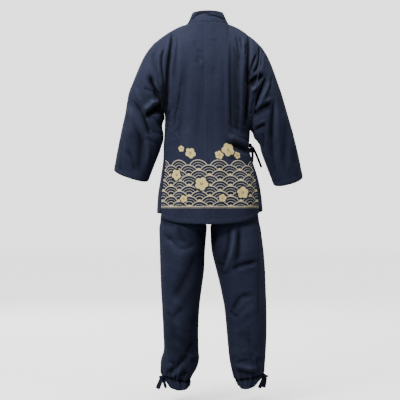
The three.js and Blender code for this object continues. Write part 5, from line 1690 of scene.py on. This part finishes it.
def stitchTree():
    tree = bpy.data.node_groups.new("stitchRow", "GeometryNodeTree")
    kinds = {"Geometry": ("Rows",), "Float": ("Pitch", "Length", "Thread"), "Material": ("Cotton",)}
    for kind, names in kinds.items():
        for name in names:
            tree.interface.new_socket(name, in_out="INPUT", socket_type="NodeSocket" + kind)
    tree.interface.new_socket("Stitches", in_out="OUTPUT", socket_type="NodeSocketGeometry")
    add = partial(addNode, tree)
    start = add("NodeGroupInput").outputs
    inputs = {"Curve": start["Rows"], "Length": start["Pitch"]}
    spaced = add("GeometryNodeResampleCurve", inputs, mode="LENGTH")
    tangent = add("GeometryNodeInputTangent")
    turn = add("FunctionNodeAlignRotationToVector", {"Vector": tangent.outputs[0]}, axis="X")
    bead = add("GeometryNodeMeshUVSphere", {"Segments": 6, "Rings": 4, "Radius": 0.5})
    size = add("ShaderNodeCombineXYZ", {0: start["Length"], 1: start["Thread"], 2: start["Thread"]})
    double = add("ShaderNodeVectorMath", {0: size.outputs[0], 1: (1, 2, 2)}, operation="MULTIPLY")
    shape = add("GeometryNodeTransform", {"Geometry": bead.outputs["Mesh"], "Scale": double.outputs[0]})
    place = add("GeometryNodeInstanceOnPoints", {
        "Points": spaced.outputs[0],
        "Instance": shape.outputs[0],
        "Rotation": turn.outputs[0],
    })
    real = add("GeometryNodeRealizeInstances", {0: place.outputs[0]})
    finish = add("GeometryNodeSetMaterial", {"Geometry": real.outputs[0], "Material": start["Cotton"]})
    add("NodeGroupOutput", {0: finish.outputs[0]})
    return tree


stitchRow = stitchTree()


def makeStitches(name):
    slot, rows = stitching[name]
    curve = bpy.data.curves.new(name + "Rows", "CURVE")
    curve.dimensions = "3D"
    for panels, edge, away in rows:
        for panel in panels:
            line = panel.lineAt(edge, away)
            spline = curve.splines.new("POLY")
            spline.points.add(len(line) - 1)
            flat = np.concatenate([line * mm, np.ones((len(line), 1))], 1)
            spline.points.foreach_set("co", flat.ravel())
    path = addObject(name + "Rows", curve)
    work = path.modifiers.new("stitches", "NODES")
    work.node_group = stitchRow
    values = {key.capitalize(): stitching[key] * mm for key in ("pitch", "length", "thread")}
    values["Cotton"] = thread
    for item in stitchRow.interface.items_tree:
        if item.in_out == "INPUT" and item.name in values:
            work[item.identifier] = values[item.name]
    seen = path.evaluated_get(bpy.context.evaluated_depsgraph_get())
    mesh = bpy.data.meshes.new_from_object(seen)
    mesh.name = name
    mesh.shade_smooth()
    piece = addObject(name, mesh)
    bpy.data.objects.remove(path)
    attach(piece, "root")


for name in ("jacket_stitches", "collar_stitches", "trouser_stitches"):
    makeStitches(name)
print("stitches made")

studio = {
    "floorZ": -1.412,
    "floorReach": 14,
    "cameraPlace": (0.035, 4.5, -0.659),
    "lens": 109,
    "sensor": 36,
    "paper": (0.92, 0.92, 0.915, 1),
    "bounce": (0.16, 0.16, 0.16, 1),  # of the floor, as the cloth is lit by it
    "glow": 0.95,  # of the floor, to the camera alone
    "softLight": 0.20,
    "paperLight": 2.3,
    # place, target, size in metres, power in watts
    "lights": {
        "key": ((1.25, 1.6, 0.85), (0, 0, -0.35), 0.5, 46),
        "fill": ((-2.6, 3.4, 0.2), (0, 0, -0.7), 2.0, 7),
        "front": ((1.2, -3.4, 1.2), (0, 0, -0.7), 2.0, 90),
    },
    "sky": ((0.05, 0.14, 1), 4.1, 40),  # towards the light, strength, softness in degrees
}


def makeStage():
    board = NodeBoard("paleFloor")
    direct = board.add("LightPath").outputs["Is Camera Ray"]
    shader = board.add("BsdfPrincipled", {
        "Base Color": board.blend(direct, studio["bounce"], studio["paper"]),
        "Emission Strength": board.calc("MULTIPLY", direct, studio["glow"]),
        "Emission Color": studio["paper"],
        "Roughness": 0.9,
    })
    mesh = bpy.data.meshes.new("floor")
    low, reach = studio["floorZ"], studio["floorReach"]
    corners = [(-reach, -reach, low), (reach, -reach, low), (reach, reach, low), (-reach, reach, low)]
    mesh.from_pydata(corners, [], [(0, 1, 2, 3)])
    mesh.materials.append(board.finish(shader))
    addObject("floor", mesh)


def makeLight(name, place, target, size, power):
    lamp = bpy.data.lights.new(name, "AREA")
    lamp.shape, lamp.size, lamp.energy = "SQUARE", size, power
    light = addObject(name, lamp)
    light.location = place
    light.visible_camera = False
    light.rotation_euler = (Vector(target) - Vector(place)).to_track_quat("-Z", "Y").to_euler()


def makeSky():
    towards, strength, softness = studio["sky"]
    lamp = bpy.data.lights.new("sky", "SUN")
    lamp.energy, lamp.angle = strength, math.radians(softness)
    addObject("sky", lamp).rotation_euler = Vector(towards).to_track_quat("Z", "Y").to_euler()


def makeCamera():
    lens = bpy.data.cameras.new("camera")
    lens.lens, lens.sensor_width = studio["lens"], studio["sensor"]
    camera = addObject("camera", lens)
    camera.location = studio["cameraPlace"]
    camera.rotation_euler = (math.radians(90), 0, math.radians(180))
    bpy.context.scene.camera = camera


def makeWorld():
    # the paper behind shows white, and its light on the cloth is softer
    world = bpy.data.worlds.new("studio")
    bpy.context.scene.world = world
    world.use_nodes = True
    world.node_tree.nodes.clear()
    add, white = partial(addNode, world.node_tree), (1, 1, 1, 1)
    direct = add("ShaderNodeLightPath").outputs["Is Camera Ray"]
    soft = add("ShaderNodeBackground", {"Color": white, "Strength": studio["softLight"]})
    bright = add("ShaderNodeBackground", {"Color": white, "Strength": studio["paperLight"]})
    both = add("ShaderNodeMixShader", {0: direct, 1: soft.outputs[0], 2: bright.outputs[0]})
    add("ShaderNodeOutputWorld", {0: both.outputs[0]})


makeStage()
for name, settings in studio["lights"].items():
    makeLight(name, *settings)
makeSky()
makeWorld()
makeCamera()
print("stage, lights and camera made")
